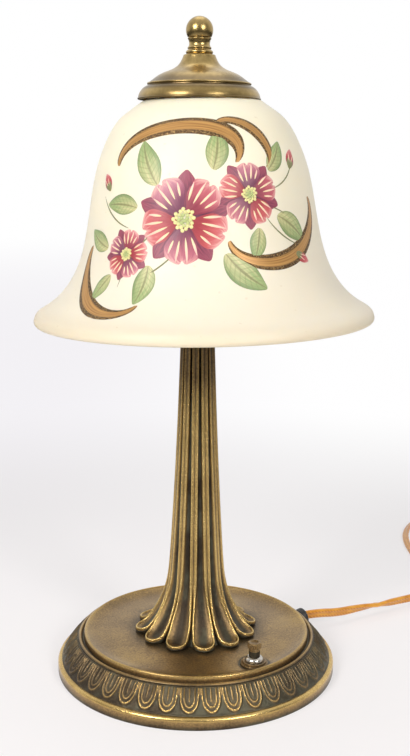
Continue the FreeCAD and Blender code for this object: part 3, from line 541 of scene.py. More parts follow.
petal_grid = round_axis(ring_r, petal_angles[:, None, None] + ring_side / np.maximum(radius, 1.0), ring_z)
deep = step_up(0.10 + 0.10 * opening, 0.85, channel)
floor_of_flute = brink * (0.34 - 0.16 * opening) + deep * (0.50 - 0.06 * opening)
seam = (1 - step_up(0.0, 0.5, from_edge)) * (0.55 + 0.20 * opening)
# glint is a painted highlight along each lip, and the column is painted darker towards its top: painted shade
# under the glass bell.
glint = 0.22 * bump_at(lip - 0.4, 0.45, from_edge)
wear_and_shade = 0.70 - 0.02 * opening + glint - floor_of_flute - seam - 0.36 * step_up(190.0, 275.0, height)
wear_and_shade = np.concatenate([wear_and_shade, np.zeros_like(back_r)], axis=1)
column = surface(
    "fluted_column", petal_grid, "stand", "antique_brass", lids=True,
    marks={"relief": np.clip(wear_and_shade, 0, 1.2)}, angle=50,
)

# %% [markdown]
# Behind the petals the casting goes on as a plain flared core, dark where little
# light reaches. It closes the gaps between the petals down to the dish.

# %% The core of the column
core_profile = template(
    [(6.0, 269.5), (8.6, 269.5)],
    smooth_through([
        (8.6, 269.5), (12.6, 160.0), (17.0, 86.0), (19.5, 70.0), (24.5, 54.0), (30.5, 43.0),
        (36.5, 34.5), (38.0, 30.0),
    ], 60),
    [(6.0, 30.0)],
)
core = lathed("column_core", core_profile, 96, "stand", "antique_brass")
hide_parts("column")

# %% [markdown]
# ## The glass shade
#
# The shade is blown glass with an acid-etched, satin face. It is a turned bell whose
# wall follows its outer curve 3 mm inside, with a thick rounded lip at the rim.

# %% The shade
SHADE_TOP, SHADE_DROP, SHADE_RADIUS = 441.6, 441.6 - 280.5, 127.0
shade_shares = np.array([
    (0.400, 0.060), (0.458, 0.094), (0.547, 0.197), (0.603, 0.309), (0.642, 0.445),
    (0.677, 0.603), (0.724, 0.737), (0.791, 0.837), (0.884, 0.916), (0.950, 0.951), (0.989, 0.975),
    (1.0, 1.0),
])
shade_knots = np.concatenate([
    [(35.0, SHADE_TOP), (43.8, SHADE_TOP - 4.8)],
    np.stack([SHADE_RADIUS * shade_shares[:, 0], SHADE_TOP - SHADE_DROP * shade_shares[:, 1]], axis=1),
])
shade_outer = smooth_through(shade_knots, 150)


def offset_inwards(profile, distance):
    """Each point moved against the profile's normal, which is its tangent turned a quarter."""
    tangent = unit(np.gradient(profile, axis=0))
    normal = np.stack([-tangent[:, 1], tangent[:, 0]], axis=1)
    normal *= np.sign(normal[:, :1] + 1e-9)
    return profile - normal * distance


rim = shade_outer[-1]
shade_inner = offset_inwards(shade_outer, 3.0)[4:-3]
lip_profile = smooth_through([
    rim, rim + (-0.3, -1.6), rim + (-1.8, -2.9), rim + (-3.6, -2.2), shade_inner[-1],
], 16)[1:-1]
shade_profile = template(
    [(27.0, 438.7), (27.0, SHADE_TOP)], shade_outer, lip_profile, shade_inner[::-1], [(33.0, 438.7)],
)
ASKEW = math.radians(1.1)     # the shade hangs a little askew under its cap
ASIDE = 1.5                   # and a little to the right


def hang(points):
    """Turns points about the crown's middle, seen from the front anticlockwise, and moves them aside."""
    x, y, z = points[..., 0], points[..., 1], points[..., 2] - SHADE_TOP
    across = x * math.cos(ASKEW) - z * math.sin(ASKEW) + ASIDE
    upright = x * math.sin(ASKEW) + z * math.cos(ASKEW) + SHADE_TOP
    return np.stack([across, y, upright], axis=-1)


glass_grid = hang(turned(shade_profile, 240))
shade = surface("glass_bell", glass_grid, "shade", "satin_glass", closed=True, angle=60)
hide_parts("glass_shade")

# %% [markdown]
# ## The painted flowers
#
# The glass is painted by hand in enamel, which stands a little proud of it. Here the
# place of the picture holds a spray of dog roses with two gilt scrolls. Each brush
# stroke is a thin closed lens laid on the shade: its middle line turns steadily, and
# its width follows a power of a sine, so the same formula gives petals, leaves, stems
# and scrolls. The map from stroke to shade uses the true radius at each height, so
# a round flower stays round.

# %% Brush strokes
shade_along = lengths_along(shade_outer)
shade_lines = np.concatenate([shade_outer, unit(np.gradient(shade_outer, axis=0))], axis=1).T


def on_shade(anchor, x, y, lift):
    """Where (x, y) mm from an anchor lies on the glass, raised by lift along its normal.

    The anchor is an angle from the front and a distance down the profile. The angle
    grows by x over the radius at that distance, and y adds to the distance.
    """
    down = anchor[1] + y
    radius, height, run, fall = (np.interp(down, shade_along, values) for values in shade_lines)
    angle = np.radians(FRONT + anchor[0]) + x / radius
    return hang(round_axis(radius - lift * fall, angle, height + lift * run))


def brush(anchor, heading, length, width, start=0.0, x=0.0, y=0.0, bend=0.0, curl=0.0, fat=1.0, blunt=0.6,
          notch=0.0, lift=0.3, rows=26, columns=9):
    """Strokes as closed grids, with their marks: along (0 to 1), across (-1 to 1) and tone.

    The heading at t is heading + bend t + curl (2t - 1)^5, in degrees from x towards y.
    The half width is width / 2 sin(pi t^fat)^blunt. The back lies 0.5 mm in the glass.
    """
    given = (np.atleast_1d(np.asarray(v, float)) for v in (heading, length, width, start, x, y, bend))
    heading, length, width, start, x, y, bend = (v[:, None, None] for v in np.broadcast_arrays(*given))
    t = np.linspace(0, 1, rows)[None, :, None]
    u = np.concatenate([np.linspace(-1, 1, columns), np.linspace(1, -1, columns)[1:-1]])[None, None, :]
    on_front = (np.arange(u.size) < columns)[None, None, :]
    angle = np.radians(heading + bend * t + curl * (2 * t - 1) ** 5)
    first = np.radians(heading)
    advance = length / (rows - 1)
    middle_x = x + start * np.cos(first) + np.cumsum(np.cos(angle), axis=1) * advance
    middle_y = y + start * np.sin(first) + np.cumsum(np.sin(angle), axis=1) * advance
    half = width / 2 * np.sin(math.pi * t**fat).clip(0) ** blunt
    pull = notch * length * np.exp(-((u / 0.4) ** 2)) * t**6
    px = middle_x - np.sin(angle) * u * half - np.cos(angle) * pull
    py = middle_y + np.cos(angle) * u * half - np.sin(angle) * pull
    crown = (1 - u**4) * np.sqrt(np.sin(math.pi * t).clip(0))
    height = np.where(on_front, -0.1 + (lift + 0.1) * crown + 0.10 * u * crown, -0.1 - 0.4 * (1 - u**2))
    tone = (np.arange(len(length)) * 0.618 % 1)[:, None, None]
    points = on_shade(anchor, px, py, height + 0 * px)
    marks = {"along": t, "across": u, "tone": tone}
    return points, {k: np.broadcast_to(v, px.shape) for k, v in marks.items()}


def enamel(name, groups):
    """One piece from several brush results of one grid size."""
    grids = np.concatenate([points for points, marks in groups])
    together = {mark: np.concatenate([marks[mark] for points, marks in groups]) for mark in groups[0][1]}
    return surface(name, grids, "shade", "satin_glass", marks=together, angle=50)


# %% The roses
# Each rose: anchor, width, turn. Each bud: anchor, length, heading.
ROSES = [((-8.5, 103.0), 66.0, 20.0), ((23.0, 87.0), 47.0, 55.0), ((-36.0, 127.0), 37.0, -10.0)]
BUDS = [((51.0, 70.0), 15.0, -62.0), ((-52.0, 84.0), 14.0, -128.0), ((46.0, 128.0), 14.0, 30.0)]
FIFTHS = 72.0 * np.arange(5)


def rose_petals(anchor, size, turn):
    """Five notched petals, 72 degrees apart, that start a little way from the flower's middle."""
    heading = turn + FIFTHS
    long, wide = 0.41 * size, 0.47 * size
    return brush(anchor, heading, long, wide, start=0.045 * size, fat=1.35, blunt=0.62, notch=0.13, lift=0.4)


def rose_back(anchor, size, turn):
    """Five darker, narrower petals that show between the front ones."""
    heading = turn + 36 + FIFTHS
    return brush(anchor, heading, 0.44 * size, 0.27 * size, start=0.06 * size, fat=1.1, blunt=0.8, lift=0.2)


def rose_lights(anchor, size, turn):
    """Pale strokes that fan out over each petal."""
    fan = np.tile([-25.0, -8.0, 9.0, 24.0], 5)
    heading = turn + np.repeat(FIFTHS, 4) + fan
    length = size * np.tile([0.22, 0.30, 0.27, 0.19], 5)
    start = size * np.tile([0.17, 0.14, 0.17, 0.20], 5)
    width = 0.028 * size + 0.45
    return brush(anchor, heading, length, width, start=start, bend=-fan * 0.25, blunt=0.9, lift=0.62)


petals = enamel("painted_petals", [rose_petals(*r) for r in ROSES])
back_petals = enamel("painted_back_petals", [rose_back(*r) for r in ROSES])
bud_lights = [
    brush(a, np.array([h - 12, h + 10]), 0.75 * (n - 2), 0.9, start=2.0, blunt=0.9, lift=0.62)
    for a, n, h in BUDS
]
lights = enamel("painted_lights", [rose_lights(*r) for r in ROSES] + bud_lights)

# %% [markdown]
# The middle of a dog rose is a ring of stamens round a green boss. Small flattened
# balls, set by the golden angle like the seeds of a sunflower, fill it evenly.

# %% The middles of the roses
def seeds(anchor, spread, count, size):
    """Flattened balls at radius spread sqrt(k / count), each turned on by the golden angle."""
    k = np.arange(count) + 0.5
    radius = spread * np.sqrt(k / count)
    turn = k * math.pi * (3 - math.sqrt(5))
    polar = np.linspace(0, math.pi, 7)[None, :, None]
    round_turn = np.linspace(0, TURN, 8, endpoint=False)[None, None, :]
    x = (radius * np.cos(turn))[:, None, None] + size * np.sin(polar) * np.cos(round_turn)
    y = (radius * np.sin(turn))[:, None, None] + size * np.sin(polar) * np.sin(round_turn)
    lift = 0.35 + 0.7 * np.cos(polar)
    marks = {"along": polar / math.pi, "across": 0 * polar, "tone": (radius / spread)[:, None, None]}
    return on_shade(anchor, x, y, lift + 0 * x), {k: np.broadcast_to(v, x.shape) for k, v in marks.items()}


middles = enamel("painted_middles", [seeds(a, 0.115 * n, 30, 0.017 * n + 0.25) for a, n, turn in ROSES])

# %% Leaves, stems and buds
LEAVES = [
    # anchor, heading, length, width, bend
    ((-21.0, 82.0), -128.0, 36.0, 20.0, 26.0), ((5.0, 72.0), -70.0, 31.0, 18.0, -24.0),
    ((36.0, 101.0), 22.0, 34.0, 19.0, 30.0), ((9.0, 124.0), 56.0, 40.0, 21.0, -26.0),
    ((-24.0, 132.0), 88.0, 31.0, 18.0, 24.0), ((-47.0, 124.0), -168.0, 28.0, 15.0, 26.0),
    ((34.0, 72.0), -38.0, 27.0, 15.0, -30.0), ((-42.0, 141.0), 128.0, 24.0, 13.0, -24.0),
    ((-31.0, 96.0), -164.0, 30.0, 16.0, -26.0), ((27.0, 108.0), 96.0, 24.0, 14.0, 20.0),
]
leaves = enamel("painted_leaves", [
    brush(a, h, n, w, bend=b, fat=0.85, blunt=0.8, lift=0.24) for a, h, n, w, b in LEAVES
])
STEMS = [
    # anchor, heading, length, bend
    ((-8.0, 100.0), -25.0, 88.0, 62.0), ((-12.0, 104.0), 160.0, 66.0, -58.0),
    ((34.0, 84.0), -8.0, 34.0, -58.0), ((-34.0, 110.0), -170.0, 40.0, 52.0),
    ((30.0, 100.0), 58.0, 38.0, -42.0), ((-8.0, 118.0), 128.0, 46.0, 30.0),
]
stems = enamel("painted_stems", [brush(a, h, n, 1.3, bend=b, blunt=0.4, lift=0.12) for a, h, n, b in STEMS])
buds = enamel("painted_buds", [brush(a, h, n, 0.62 * n, fat=0.8, blunt=0.75, lift=0.45) for a, n, h in BUDS])
SEPAL_FAN = np.array([-34.0, 0.0, 34.0])
SEPAL_BEND = np.array([30.0, 0.0, -30.0])
sepals = enamel("painted_sepals", [
    brush(a, h + SEPAL_FAN, 0.62 * n, 0.2 * n, start=-1.0, bend=SEPAL_BEND, lift=0.6) for a, n, h in BUDS
])

# %% [markdown]
# Each of the four scrolls is one long stroke. Its heading turns slowly in the middle
# and fast at both ends, which winds the ends into small volutes.

# %% Gilt scrolls
SCROLLS = [
    # anchor, heading, length, width, bend, curl
    ((-47.0, 70.0), -50.0, 122.0, 14.0, 96.0, 76.0), ((63.0, 88.0), 112.0, 116.0, 13.5, 96.0, 74.0),
    ((-60.0, 122.0), 78.0, 104.0, 13.0, -92.0, -72.0), ((8.0, 40.0), -6.0, 66.0, 9.0, 92.0, 84.0),
]
scrolls = enamel("gilt_scrolls", [
    brush(a, h, n, w, bend=b, curl=c, blunt=0.42, lift=0.34, rows=84) for a, h, n, w, b, c in SCROLLS
])

# %% [markdown]
# ## The cap and the finial
#
# Both are turned on a lathe: the cap is spun from sheet brass with a step near its
# rim, and the finial is a solid ball on a waisted neck.

# %% Cap and finial
cap_profile = template(
    [(43.3, 438.05), (44.3, 438.05)],
    arc((44.1, 438.75), 0.7, -60, 60, 7),
    smooth_through([(44.3, 439.9), (43.7, 441.9), (42.5, 444.0), (40.8, 446.0), (38.6, 447.5)], 22),
    [(37.7, 447.75), (37.2, 447.9), (37.1, 448.3), (37.3, 448.6)],
    arc((37.0, 449.3), 0.8, -50, 110, 9),
    smooth_through([
        (36.3, 450.3), (34.9, 451.3), (32.9, 452.8), (30.4, 454.6), (27.4, 456.3), (24.0, 457.7),
        (20.6, 459.0), (17.3, 460.8), (14.9, 462.9), (13.3, 465.3), (12.2, 467.6), (11.5, 469.4),
    ], 60),
    [(11.2, 469.6), (3.5, 469.6), (3.5, 468.4), (10.4, 468.4)],
    smooth_through([
        (10.4, 468.4), (11.9, 464.8), (15.6, 460.0), (20.0, 457.6), (26.5, 454.8), (31.5, 451.6),
        (35.6, 448.5),
    ], 30),
    [(36.2, 446.8), (41.4, 442.9), (43.2, 439.4)],
)
cap = lathed("spun_cap", cap_profile, 224, "cap", "spun_brass", angle=45)
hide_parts("shade_cap")

finial_profile = template(
    [(3.25, 469.65), (8.6, 469.65), (9.3, 470.0)],
    arc((8.6, 471.4), 1.25, -40, 70, 10),
    [(8.75, 472.9), (8.35, 473.25), (8.2, 473.6)],
    arc((7.9, 474.35), 0.75, -60, 60, 8),
    smooth_through([(8.1, 475.2), (7.7, 475.9), (7.5, 477.0), (7.6, 478.4), (7.9, 479.5), (8.0, 480.1)], 16),
    arc((7.95, 480.85), 0.6, -70, 70, 8),
    [(7.95, 481.6), (7.8, 481.85)],
    arc((0.0, 486.7), 9.8, -28, 90, 44),
    [(0.0, 478.9), (3.25, 478.4)],
)
finial = lathed("ball_finial", finial_profile, 160, "finial", "spun_brass", angle=45)
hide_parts("finial")

# %% [markdown]
# ## The rotary switch
#
# A stepped brass flange and a bright domed nut hold the switch in the dish. Its small
# knob has a ribbed grip: the radius of the turned profile dips twenty times a turn.

# %% Switch pieces
flange_profile = template(
    [(4.3, 28.0), (9.9, 28.0)], arc((9.8, 28.5), 0.5, -90, 0, 4),
    [(10.3, 29.0)], arc((9.8, 29.0), 0.5, 0, 90, 5),
    [(9.3, 29.45), (9.05, 29.6), (8.95, 30.4)], arc((8.45, 30.5), 0.5, 0, 90, 5),
    [(7.3, 31.0), (6.9, 30.7), (4.3, 30.7)],
)
flange = lathed("switch_seat", flange_profile, 96, "stand", "antique_brass", SWITCH)
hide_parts("switch_flange")
nut_profile = template(
    [(4.3, 31.0), (6.7, 31.0), (6.9, 31.2), (6.9, 31.6)],
    smooth_through([(6.9, 31.6), (6.6, 32.7), (5.8, 33.7), (4.9, 34.3)], 10), [(4.3, 34.3)],
)
nut = lathed("switch_dome_nut", nut_profile, 96, "stand", "nickel", SWITCH)
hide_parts("switch_nut")
neck_height = np.linspace(34.4, 38.4, 60)
thread = 4.05 + 0.15 * np.cos(neck_height * TURN / 0.75)
neck_profile = template([(1.7, 34.4)], np.stack([thread, neck_height], axis=1), [(1.7, 38.4)])
neck = lathed("switch_neck", neck_profile, 64, "stand", "antique_brass", SWITCH)
knob_profile = template(
    [(1.55, 38.5), (3.9, 38.5), (4.1, 38.7), (4.1, 40.2), (4.0, 40.6), (4.3, 40.9), (4.9, 41.05)],
    [(5.15, 41.3), (5.2, 41.7), (5.2, 42.4), (5.2, 43.1), (5.2, 43.9), (5.15, 44.5), (4.9, 45.0)],
    [(4.5, 45.35), (4.0, 45.4), (3.3, 45.3), (2.7, 45.0), (2.3, 44.7), (1.4, 44.55), (0.0, 44.5)],
    [(0.0, 43.45), (1.55, 43.4)],
)
RIBS, KNOB_COLUMNS = 20, 240
knob_grid = turned(knob_profile, KNOB_COLUMNS, SWITCH)
on_grip = knob_profile[:, 0, None] > 5.1
knob_turn = np.linspace(0, TURN, KNOB_COLUMNS, endpoint=False)
groove = 0.55 * (0.5 - 0.5 * np.cos(RIBS * knob_turn)) ** 2 * on_grip
knob_grid[..., 0] -= groove * np.cos(knob_turn)
knob_grid[..., 1] -= groove * np.sin(knob_turn)
knob = surface("ribbed_knob", knob_grid, "knob", "antique_brass", closed=True, angle=35)
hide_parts("switch_knob")

# %% [markdown]
# ## Shader maths in Python
#
# A small class wraps a node socket so that ordinary operators build Math nodes. A
# second one makes any other node from its type, its settings and its inputs, and a
# third adds what a material needs.

# %% Shader helpers
class Wire:
    """A node's output. Arithmetic on it adds Math nodes to the same tree."""

    def __init__(self, tree, socket):
        self.tree, self.socket = tree, socket

    def maths(self, operation, *values):
        return self.tree.node("ShaderNodeMath", {"operation": operation}, dict(enumerate(values)))

    def __add__(self, other):
        return self.maths("ADD", self, other)

    def __sub__(self, other):
        return self.maths("SUBTRACT", self, other)

    def __rsub__(self, other):
        return self.maths("SUBTRACT", other, self)

    def __mul__(self, other):
        return self.maths("MULTIPLY", self, other)

    def __abs__(self):
        return self.maths("ABSOLUTE", self)

    def most(self, other):
        return self.maths("MAXIMUM", self, other)

    def ease(self, low, high, start=0.0, end=1.0):
        """start below low, end above high, and a smooth step between."""
        settings = {"interpolation_type": "SMOOTHSTEP"}
        values = {"Value": self, "From Min": low, "From Max": high, "To Min": start, "To Max": end}
        return self.tree.node("ShaderNodeMapRange", settings, values)


class Tree:
    """The node tree of a material or a world, and the way its nodes are made."""

    def __init__(self, owner):
        owner.use_nodes = True
        self.owner, self.tree = owner, owner.node_tree

    def find(self, kind):
        return next(made for made in self.tree.nodes if made.type == kind)

    def node(self, kind, settings=None, values=None, output=0):
        """A node of any kind: its settings are set first, then its sockets are filled."""
        made = self.tree.nodes.new(kind)
        for key, value in (settings or {}).items():
            setattr(made, key, value)
        for key, value in (values or {}).items():
            socket = made.inputs[key]
            if isinstance(value, Wire):
                self.tree.links.new(value.socket, socket)
            elif socket.type == "RGBA":
                socket.default_value = (*value, 1.0)
            else:
                socket.default_value = value
        return Wire(self, made.outputs[output])

    def axis(self, name, kind="Object"):
        """One coordinate, in metres, of the point on the piece, or of the way a ray goes."""
        where = self.node("ShaderNodeTexCoord", output=kind)
        return self.node("ShaderNodeSeparateXYZ", None, {0: where}, name)

    def ray(self, name):
        """1 for the rays that the Light Path node names so, and 0 for all others."""
        return self.node("ShaderNodeLightPath", output=f"Is {name} Ray")

    def blend(self, share, one, other):
        """From colour one to colour other by a share; the Mix node's colour sockets are 6 and 7."""
        return self.node("ShaderNodeMix", {"data_type": "RGBA"}, {0: share, 6: one, 7: other}, 2)


class Finish(Tree):
    """One material and its principled shader."""

    def __init__(self, name, **fixed):
        super().__init__(bpy.data.materials.new(name))
        self.shader = self.find("BSDF_PRINCIPLED")
        for key, value in fixed.items():
            self.shader.inputs[key.replace("_", " ")].default_value = value

    def mark(self, name):
        """A number that was stored with the mesh."""
        return self.node("ShaderNodeAttribute", {"attribute_name": name}, output="Fac")

    def noise(self, scale, detail=3.0, roughness=0.55, stretch=None, where=None):
        """Cloudy noise with about scale lumps in each metre."""
        where = where or self.node("ShaderNodeTexCoord", output="Object")
        if stretch:
            where = self.node("ShaderNodeVectorMath", {"operation": "MULTIPLY"}, {0: where, 1: stretch})
        values = {"Vector": where, "Scale": scale, "Detail": detail, "Roughness": roughness}
        return self.node("ShaderNodeTexNoise", None, values)

    def ramp(self, share, stops):
        """A colour for each share, from stops of place and colour."""
        wire = self.node("ShaderNodeValToRGB", None, {0: share})
        elements = wire.socket.node.color_ramp.elements
        while len(elements) < len(stops):
            elements.new(0.5)
        for element, (place, colour) in zip(elements, stops):
            element.position, element.color = place, (*colour, 1.0)
        return wire

    def feed(self, **links):
        for key, value in links.items():
            self.tree.links.new(value.socket, self.shader.inputs[key.replace("_", " ")])
        return self

    def bumps(self, height, distance):
        """The height, in metres of distance, bends the surface's normal."""
        return self.feed(Normal=self.node("ShaderNodeBump", None, {"Height": height, "Distance": distance}))

    def on(self, *pieces):
        for piece in pieces:
            piece.data.materials.clear()
            piece.data.materials.append(self.owner)


# %% [markdown]
# ## Brass with a patina
#
# Old cast brass is dark brown where polish never reaches and pale gold where hands
# and cloths rub. The stored relief of each ornament says which is which, and also
# carries painted highlights and painted shade. Cloudy noise breaks up the edge between
# them. A ramp turns that brightness into colour. Tiny casting pits come from a finer noise.

# %% Antique brass
PATINA = [
    (0.00, (0.028, 0.020, 0.012)), (0.22, (0.082, 0.057, 0.030)), (0.50, (0.255, 0.165, 0.072)),
    (0.76, (0.520, 0.350, 0.120)), (1.00, (0.860, 0.640, 0.270)),
]


def antique(name, level=None, mottle=0.55, pits=1.0, rough=0.36):
    """Patinated brass. level is a fixed wear or painted shade, or None to read the relief that the mesh
    holds.
    """
    finish = Finish(name)
    cloud = finish.noise(28.0, 4.0, 0.6)
    grain = finish.noise(780.0, 3.0, 0.7)
    fine = finish.noise(2300.0, 2.0, 0.6)
    shine = finish.mark("relief") if level is None else level
    share = ((cloud - 0.5) * mottle + shine + (grain - 0.5) * 0.62).ease(-0.15, 1.15)
    verdigris = (1 - share).ease(0.55, 0.95) * cloud.ease(0.42, 0.6) * 0.5
    colour = finish.blend(verdigris, finish.ramp(share, PATINA), (0.120, 0.125, 0.085))
    finish.feed(Base_Color=colour, Roughness=(1 - share) * 0.26 + (fine - 0.5) * 0.14 + (rough - 0.16))
    finish.feed(Metallic=share * 0.25 + 0.72)
    return finish.bumps(cloud * 0.5 + grain * (0.75 * pits) + fine * (0.25 * pits), 0.00042)


antique("cast_brass").on(column, border)
antique("dish_brass", pits=0.30, mottle=0.40).on(foot)
# The core is painted dark: painted shade behind the petals.
antique("dark_brass", level=0.05).on(core)
antique("neck_brass", level=0.06, pits=1.6, rough=0.60).on(neck, nodes["switch_bushing"])
antique("switch_brass", level=0.42, pits=0.5, rough=0.34).on(flange)
antique("knob_brass", level=0.50, mottle=0.9, rough=0.34).on(knob)

# %% [markdown]
# Spun brass keeps the lathe's fine rings. They are noise that is squeezed along the
# height, so they stay on the piece from every side. The cap is darker in the hollow
# under its step, and along its foot.

# %% Spun brass
spun = Finish("spun_brass", Metallic=1.0)
lathe = spun.noise(1.0, 2.0, 0.5, stretch=(60.0, 60.0, 5200.0))
tarnish = spun.noise(38.0, 4.0, 0.6)
spot = spun.noise(420.0, 2.0, 0.6)
share = (tarnish - 0.5) * 1.1 + (spot - 0.5) * 0.5 + 0.5
golden = spun.blend(share.ease(0.1, 0.9), (0.27, 0.185, 0.070), (0.52, 0.375, 0.150))
height = spun.axis("Z")
under_step = (1 - height.ease(0.4512, 0.4575)) * height.ease(0.4438, 0.4462)
bead_line = height.ease(0.4484, 0.4488) * (1 - height.ease(0.4499, 0.4503))
cap_foot = 1 - height.ease(0.4385, 0.4418)
darkened = (under_step * (1 - bead_line) * 0.72).most(cap_foot * 0.6)
golden = spun.blend(darkened, golden, (0.085, 0.060, 0.034))
spun.feed(Base_Color=golden, Roughness=(0.5 - share) * 0.14 + 0.30)
spun.bumps(lathe * 0.5 + spot * 0.2, 0.00006)
spun.on(cap, finial)

# %% Plain brass, steel and nickel
def plain_metal(name, pieces, dark, light, rough):
    """A clean metal with cloudy tarnish and faint scratches."""
    finish = Finish(name, Metallic=1.0)
    cloud = finish.noise(60.0, 4.0, 0.6)
    scratch = finish.noise(1.0, 2.0, 0.6, stretch=(900.0, 900.0, 90.0))
    finish.feed(Base_Color=finish.blend(cloud.ease(0.3, 0.7), dark, light))
    finish.feed(Roughness=(cloud - 0.5) * 0.2 + (scratch - 0.5) * 0.15 + rough)
    finish.bumps(scratch, 0.00004).on(*pieces)


def named(names):
    """The CAD nodes' own objects."""
    return [nodes[name] for name in names.split()]


plain_metal("plain_brass", named(
    "neck_ring harp_saddle harp harp_stud harp_sleeve_left harp_sleeve_right shade_plate"
    " socket_cap socket_shell screw_shell centre_contact plug_blades"
), (0.42, 0.30, 0.12), (0.60, 0.45, 0.20), 0.32)
steel_parts = named("lamp_pipe bottom_washer bottom_nut switch_shaft")
plain_metal("zinc_steel", steel_parts, (0.42, 0.42, 0.41), (0.58, 0.58, 0.57), 0.38)
plain_metal("nickel", [nut, *named("terminal_screws")], (0.46, 0.43, 0.38), (0.66, 0.63, 0.58), 0.27)
plain_metal("drawn_aluminium", named("bulb_base"), (0.62, 0.62, 0.61), (0.76, 0.76, 0.75), 0.30)

# %% [markdown]
# ## Rubber, fibre and moulded parts
#
# These are dull materials whose look is mostly in their grain: felt has a fuzzy nap,
# fibre board has flecks, mouldings have a faint orange peel.

# %% Dull materials
def dull(name, pieces, dark, light, rough, scale, depth, **fixed):
    """Two near shades mixed by cloudy noise, with a grain that bends the normal by depth metres."""
    finish = Finish(name, **fixed)
    cloud = finish.noise(scale, 4.0, 0.65)
    finish.feed(Base_Color=finish.blend(cloud.ease(0.3, 0.7), dark, light))
    finish.feed(Roughness=(cloud - 0.5) * 0.15 + rough)
    finish.bumps(cloud, depth).on(*named(pieces))


dull("black_rubber", "cord_gland", (0.012, 0.012, 0.012), (0.026, 0.025, 0.024), 0.48, 700.0, 0.00006)
dull("gasket_rubber", "shade_gasket", (0.035, 0.033, 0.030), (0.060, 0.057, 0.052), 0.7, 500.0, 0.0001)
dull("phenolic", "switch_body bulb_tip", (0.020, 0.014, 0.010), (0.038, 0.028, 0.020), 0.30, 240.0, 0.00003)
dull("porcelain", "socket_body", (0.78, 0.77, 0.73), (0.84, 0.83, 0.80), 0.22, 90.0, 0.00003, Coat_Weight=0.4)
dull("fibre_board", "base_board", (0.10, 0.065, 0.038), (0.19, 0.130, 0.080), 0.75, 900.0, 0.0001)
dull("green_felt", "base_felt", (0.016, 0.050, 0.030), (0.040, 0.100, 0.062), 0.95, 1500.0, 0.0003,
     Sheen_Weight=0.6)
dull("liner_paper", "socket_liner", (0.20, 0.135, 0.080), (0.30, 0.215, 0.135), 0.8, 800.0, 0.00008)
dull("pearl_bulb", "bulb_glass", (0.86, 0.85, 0.82), (0.90, 0.89, 0.86), 0.32, 300.0, 0.00002,
     Coat_Weight=0.5)
dull("wire_vinyl", "feed_wire riser_wire", (0.55, 0.36, 0.12), (0.64, 0.44, 0.18), 0.4, 300.0, 0.00004)
dull("tie_vinyl", "coil_tie", (0.020, 0.019, 0.018), (0.038, 0.036, 0.034), 0.42, 500.0, 0.00008)
dull("plug_vinyl", "plug_body", (0.30, 0.150, 0.030), (0.40, 0.210, 0.050), 0.38, 320.0, 0.00006,
     Coat_Weight=0.25)

# %% [markdown]
# The cord's vinyl is clear amber, and the stranded copper glows through it. The
# stored place across the cord finds the two conductors, and the place along it
# twists their strands.

# %% Amber cord
amber = Finish("amber_cord", Coat_Weight=0.25, Coat_Roughness=0.12)
side = amber.mark("across")
copper = 1 - abs((abs(side) - 0.5) * 3.4).ease(0.3, 1.0)
phase = amber.mark("along") * 1900.0 + side * 9.0
strand = phase.maths("SINE", phase) * 0.5 + 0.5
haze = amber.noise(60.0, 3.0, 0.6)
gold_tone = amber.blend(haze.ease(0.3, 0.7), (0.62, 0.225, 0.012), (0.80, 0.370, 0.040))
glow = amber.blend(strand, (0.46, 0.140, 0.008), (0.78, 0.330, 0.035))
amber.feed(Base_Color=amber.blend(copper * 0.75, gold_tone, glow))
amber.feed(Roughness=(haze - 0.5) * 0.15 + 0.30)
amber.bumps(haze + strand * copper * 0.4, 0.00008)
amber.on(cord)

# %% [markdown]
# ## Satin glass
#
# Acid-etched glass scatters light inside it and has no mirror in it. A little
# subsurface scattering and a high roughness give that, and the colour deepens to
# ivory low on the bell.

# %% Satin glass
SCATTER = (1.0, 0.85, 0.6)
glass = Finish("satin_glass", Subsurface_Weight=0.3, Subsurface_Scale=0.004, Subsurface_Radius=SCATTER)
low = glass.axis("Z")
drift = glass.noise(9.0, 3.0, 0.5)
etch = glass.noise(2400.0, 2.0, 0.6)
up_the_bell = (low + (drift - 0.5) * 0.05).ease(0.29, 0.42)
cream = glass.blend(up_the_bell, (0.800, 0.733, 0.600), (0.875, 0.808, 0.630))
cream = glass.blend(low.ease(0.280, 0.293), (0.745, 0.655, 0.495), cream)
fleck = glass.noise(260.0, 1.0, 0.4).ease(0.76, 0.80)
glass.feed(Base_Color=glass.blend(fleck * 0.18, cream, (0.50, 0.36, 0.20)))
glass.feed(Roughness=(etch - 0.5) * 0.15 + 0.50)
glass.bumps(etch, 0.00003)
glass.on(shade)

# %% [markdown]
# ## Enamel
#
# A loaded brush leaves streaks that run along the stroke. The streaks are noise read
# in the stroke's own coordinates: fine across it, long along it, and different for
# each stroke because its tone goes in as a third coordinate.

# %% Enamel colours
class Enamel(Finish):
    """A finish for brush strokes: t runs along a stroke, u across it, and tone tells strokes apart."""

    def __init__(self, name, rough=0.42):
        super().__init__(name)
        self.t, self.u, self.tone = (self.mark(mark) for mark in ("along", "across", "tone"))
        place = {0: self.u * 5.0, 1: self.t * 1.6, 2: self.tone * 31.0}
        self.streak = self.noise(1.6, 3.0, 0.6, where=self.node("ShaderNodeCombineXYZ", None, place))
        self.feed(Roughness=(self.streak - 0.5) * 0.2 + rough)
        self.bumps(self.streak, 0.00018)

    def wash(self, share, one, other):
        """The base colour goes from one to other by a share."""
        return self.feed(Base_Color=self.blend(share, one, other))


